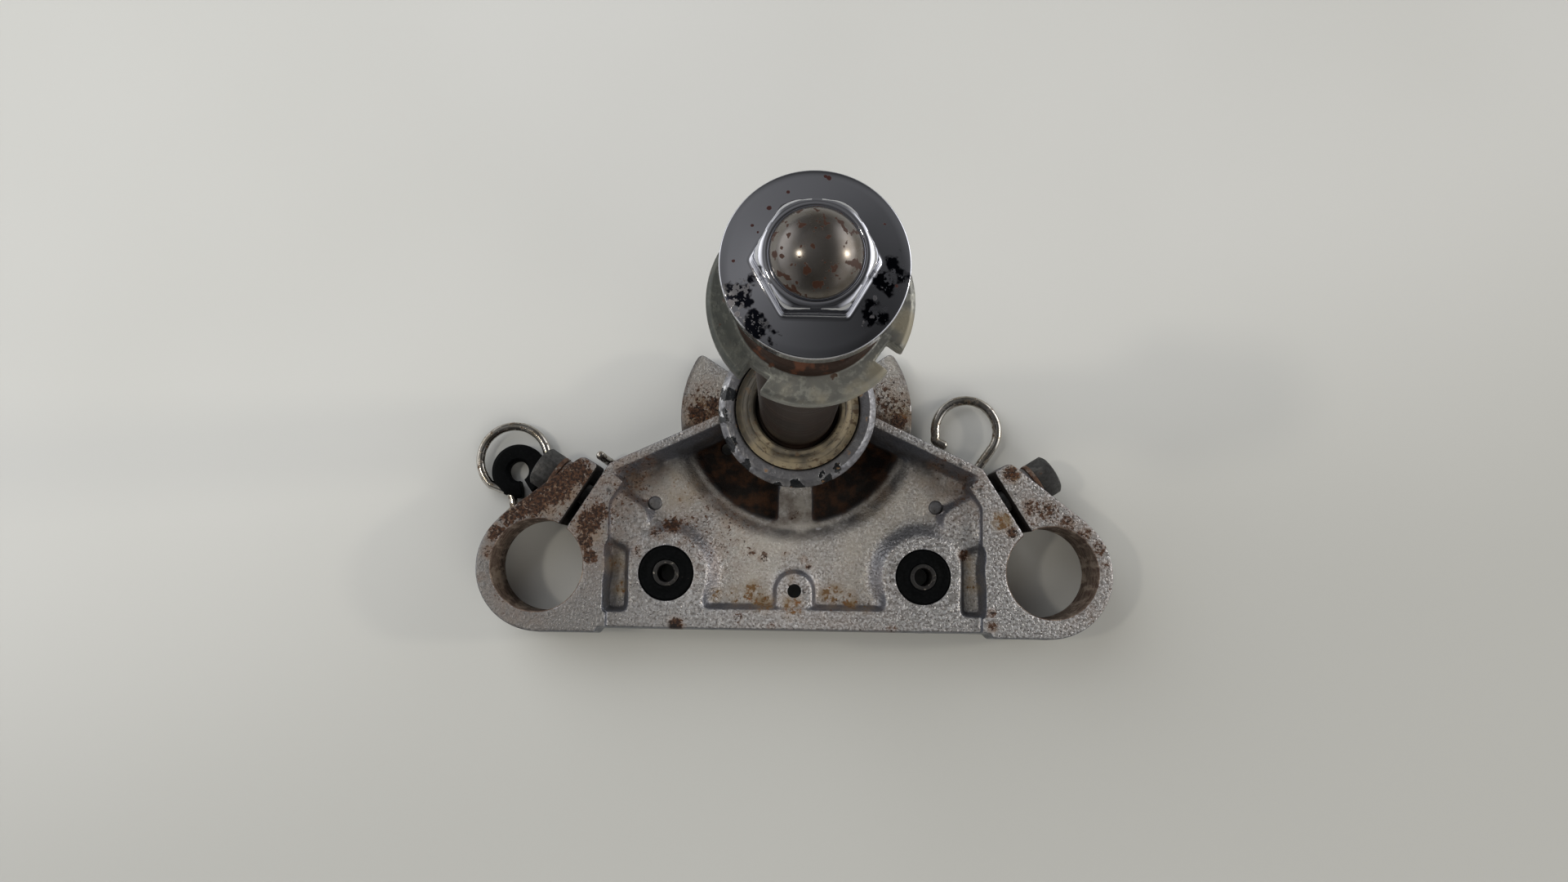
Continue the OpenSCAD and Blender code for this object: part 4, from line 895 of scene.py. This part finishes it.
washer = start_finish("rusted_washer", "#5f4636", 0.3, 0.7)
lay(washer, spots(washer, 1.2, 0.4, soft=0.15, seed=1), base="#3c2a20", metal=0.0, rough=0.85, lift=0.05)
lay(washer, spots(washer, 1.8, 0.15, soft=0.1, seed=2), base="#8f8a82", metal=0.7, rough=0.45)
rusted = close_finish(washer)
piece_from("washers", rounded("pinch_washers", 0.15), rusted, "washer_steel", "pinch_washers")

# %% [markdown]
# ## Rubber bushes and sleeves
# Each bush is moulded rubber with a steel sleeve in it. Old rubber isn't quite black: it is a dark
# blue-grey and takes no clear reflection, with a faint bloom of dust.

# %% Rubber and sleeves
rubber = start_finish("aged_rubber", "#060708", 0.0, 0.6)
lay(rubber, spots(rubber, 6, 0.4, soft=0.2, seed=1), base="#040505", rough=0.55)
lay(rubber, spots(rubber, 0.6, 0.25, soft=0.15, seed=2, detail=2), base="#0b0c0d", rough=0.7, lift=0.02)
lay(rubber, spots(rubber, 0.9, 0.012, soft=0.03, seed=3), base="#6d665c", rough=0.8)
aged_rubber = close_finish(rubber, **{"Specular IOR Level": 0.06})
for side in ("left", "right"):
    piece_from(side + "_bush", rounded(side + "_grommet", 0.3), aged_rubber, "bush_rubber", side + "_grommet")

sleeve = start_finish("grimy_sleeve_steel", "#353433", 0.6, 0.5)
lay(sleeve, spots(sleeve, 2, 0.45, soft=0.15, seed=1), base="#1b1a1a", metal=0.2, rough=0.6)
lay(sleeve, spots(sleeve, 0.8, 0.1, soft=0.05, seed=2), base="#77726a", rough=0.4)
grimy_sleeve = close_finish(sleeve)
for side in ("left", "right"):
    piece_from(side + "_sleeve", rounded(side + "_collar", 0.2), grimy_sleeve, "sleeve_steel", side + "_collar")
piece_from("hose_holder", rounded("hose_ring", 0.25), aged_rubber, "bush_rubber", "hose_ring")

# %% [markdown]
# ## Rivets
# The rivets that hold the wires were hammered flat on the floor of the dish, so their ends are dull, with small dark
# specks.

# %% Rivets
rivet = start_finish("hammered_rivet", "#77777a", 0.7, 0.45)
lay(rivet, spots(rivet, 1.5, 0.5, soft=0.2, seed=1), base="#5f5e5e", rough=0.55, lift=0.1)
lay(rivet, spots(rivet, 0.8, 0.12, soft=0.05, seed=2), base="#2f2a27", metal=0.2, rough=0.7)
hammered = close_finish(rivet)
for side in ("left", "right"):
    piece_from(side + "_rivet", rounded(side + "_guide_rivet", 0.25), hammered, "rivet_steel", side + "_guide_rivet")

# %% [markdown]
# ## Wire guides
# The guides are bent from plated wire, 3.2 mm thick at the left and 3.5 mm at the right. The wires of
# the model have twelve flat sides, which show in
# a mirror finish, so the same routes are swept again here with a round section. Near its rivet each
# wire is hammered flat into an eye.

# %% Wire routes
WIRE_R = {"left": 1.6, "right": 1.75}
WIRE_Z = 4.1
START_Z = 6.1
EYE_R, EYE_T = 5.5, 2.4


def bend(a, b, c, radius, steps=8):
    """Points of the arc that rounds the corner b between a and c."""
    u, v = (a - b).normalized(), (c - b).normalized()
    half = math.acos(max(-1, min(1, u.dot(v)))) / 2
    middle = b + (u + v).normalized() * radius / math.sin(half)
    first, last = b + u * radius / math.tan(half) - middle, b + v * radius / math.tan(half) - middle
    sweep = math.pi - 2 * half
    return [middle + (first * math.sin((1 - i / steps) * sweep) + last * math.sin(i / steps * sweep)) / math.sin(sweep)
            for i in range(steps + 1)]


def route(corners):
    """A path in mm through corners (x, y, z, radius)."""
    flat = [Vector(c[:3]) for c in corners]
    path = []
    for i, (_, _, _, radius) in enumerate(corners):
        path += bend(flat[i - 1], flat[i], flat[i + 1], radius) if radius else [flat[i]]
    return path


def arc(centre, radius, start, stop, steps=40):
    """Points of a level loop, from one angle in degrees to another."""
    angles = [math.radians(start + (stop - start) * i / steps) for i in range(steps + 1)]
    return [Vector((centre[0] + radius * math.cos(a), centre[1] + radius * math.sin(a), WIRE_Z)) for a in angles]


def leaving(place, toward, out):
    """The point at a distance from a rivet, on the way to another."""
    way = (Vector(toward) - Vector(place)).normalized()
    return Vector(place) + way * out


LEFT_RIVET, RIGHT_RIVET = (-51.3, -34.0), (51.3, -34.0)
LEFT_BEND, STUB_BEND, RIGHT_BEND = (-85.5, -30.5), (-62.5, -23.0), (66.5, -21.3)
LEFT_LOOP, LEFT_LOOP_R = (-106.0, -17.9), 12.7
RIGHT_LOOP, RIGHT_LOOP_R = (64.4, -4.1), 11.7
left_start = leaving(LEFT_RIVET, LEFT_BEND, EYE_R + 1.7)
left_wire = route([
    (*left_start, WIRE_Z, 0), (*LEFT_BEND, WIRE_Z, 6),
    (LEFT_LOOP[0] + LEFT_LOOP_R * math.cos(math.radians(20)) + 0.6,
     LEFT_LOOP[1] + LEFT_LOOP_R * math.sin(math.radians(20)) - 2, WIRE_Z, 0),
]) + arc(LEFT_LOOP, LEFT_LOOP_R, 24, 222) + route([
    (LEFT_LOOP[0] + LEFT_LOOP_R * math.cos(math.radians(228)),
     LEFT_LOOP[1] + LEFT_LOOP_R * math.sin(math.radians(228)), WIRE_Z, 0),
    (-106.6, -30.2, WIRE_Z, 3), (-105, -36.2, WIRE_Z, 2.5), (-109.7, -40.7, WIRE_Z, 0),
])
stub_wire = route([
    (*leaving(LEFT_RIVET, STUB_BEND, EYE_R + 1.7), START_Z, 0), (*leaving(LEFT_RIVET, STUB_BEND, EYE_R + 7), WIRE_Z, 3),
    (*STUB_BEND, WIRE_Z, 4), (-70.5, -17.9, WIRE_Z, 4), (-72.5, -16.4, 12, 0),
])
right_wire = route([
    (*leaving(RIGHT_RIVET, RIGHT_BEND, EYE_R + 1.7), START_Z, 0), (*leaving(RIGHT_RIVET, RIGHT_BEND, EYE_R + 7), WIRE_Z, 3),
    (*RIGHT_BEND, WIRE_Z, 12),
    (RIGHT_LOOP[0] + RIGHT_LOOP_R * math.cos(math.radians(40)),
     RIGHT_LOOP[1] - RIGHT_LOOP_R * math.sin(math.radians(40)), WIRE_Z, 0),
]) + arc(RIGHT_LOOP, RIGHT_LOOP_R, -32, 182) + route([
    (RIGHT_LOOP[0] - RIGHT_LOOP_R + 0.1, RIGHT_LOOP[1] - 2, WIRE_Z, 0), (52.5, -8.2, WIRE_Z, 1.5), (56, -9.7, WIRE_Z, 0),
])
print("wire points", len(left_wire), len(stub_wire), len(right_wire))


# %% Bend the wires
def wire_mesh(path, rivet, eye_z, wire_r, name, sides=20):
    """A round wire along a path, with round ends, and the flat eye that it ends in at its rivet."""
    form = bmesh.new()
    count = len(path)
    rings = []

    def ring(centre, along, radius, wide=1.0):
        side = along.cross(Vector((0, 0, 1))).normalized()
        up = side.cross(along)
        return [form.verts.new((centre + side * radius * wide * math.cos(2 * math.pi * k / sides)
                                + up * radius / wide * math.sin(2 * math.pi * k / sides)) * MM) for k in range(sides)]

    heads = [(path[min(i + 1, count - 1)] - path[max(i - 1, 0)]).normalized() for i in range(count)]
    toward = (Vector((*rivet, path[0].z)) - path[0]).normalized()
    middle_z = eye_z + EYE_T / 2
    root = path[0] + toward * 2.6
    rings.append(ring(Vector((root.x, root.y, middle_z)), -toward, wire_r, 1.35))
    rings.append(ring(Vector((*(path[0] + toward * 1.2).xy, (middle_z + path[0].z) / 2)), heads[0], wire_r, 1.18))
    rings += [ring(p, h, wire_r) for p, h in zip(path, heads)]
    for k in range(1, 6):
        angle = math.radians(18 * k - 3)
        rings.append(ring(path[-1] + heads[-1] * wire_r * 0.75 * math.sin(angle), heads[-1], wire_r * math.cos(angle)))
    for a, b in zip(rings, rings[1:]):
        for k in range(sides):
            form.faces.new((a[k], a[(k + 1) % sides], b[(k + 1) % sides], b[k]))
    form.faces.new(rings[0][::-1])
    form.faces.new(rings[-1])
    steps = 48
    hole = 2.64
    profile = ((hole, 0.2), (hole + 0.2, 0), (EYE_R - 0.5, 0), (EYE_R, 0.5), (EYE_R, EYE_T - 0.5), (EYE_R - 0.5, EYE_T),
               (hole + 0.2, EYE_T), (hole, EYE_T - 0.2))
    turns = []
    for i in range(steps):
        a = 2 * math.pi * i / steps
        turns.append([form.verts.new(Vector((rivet[0] + r * math.cos(a), rivet[1] + r * math.sin(a), eye_z + z)) * MM)
                      for r, z in profile])
    for i in range(steps):
        a, b = turns[i], turns[(i + 1) % steps]
        for k in range(len(profile)):
            j = (k + 1) % len(profile)
            form.faces.new((a[k], b[k], b[j], a[j]))
    bmesh.ops.recalc_face_normals(form, faces=form.faces)
    mesh = bpy.data.meshes.new(name)
    form.to_mesh(mesh)
    form.free()
    soften_shading(mesh, 45)
    return mesh


wire = start_finish("tarnished_plated_wire", "#c2beb6", 1.0, 0.16)
lay(wire, spots(wire, 4, 0.35, soft=0.15, seed=1), base="#938b7c", rough=0.28)
lay(wire, spots(wire, 1.2, 0.2, soft=0.08, seed=2), base="#5b4b3a", metal=0.6, rough=0.5, lift=0.03)
lay(wire, spots(wire, 0.7, 0.06, soft=0.03, seed=3), base="#2a211b", metal=0.1, rough=0.7)
plated_wire = close_finish(wire)
LEFT_EYE_Z, EYE_Z = 3.2, 5.6
piece_from("left_wire_loop", wire_mesh(left_wire, LEFT_RIVET, LEFT_EYE_Z, WIRE_R["left"], "left_loop"), plated_wire, "guide_wire",
           "left_hose_guide")
piece_from("left_wire_stub", wire_mesh(stub_wire, LEFT_RIVET, EYE_Z, WIRE_R["left"], "stub"), plated_wire, "guide_wire",
           "left_guide_stub")
piece_from("right_wire_loop", wire_mesh(right_wire, RIGHT_RIVET, EYE_Z, WIRE_R["right"], "right_loop"), plated_wire, "guide_wire",
           "right_cable_guide")
print("wires bent")
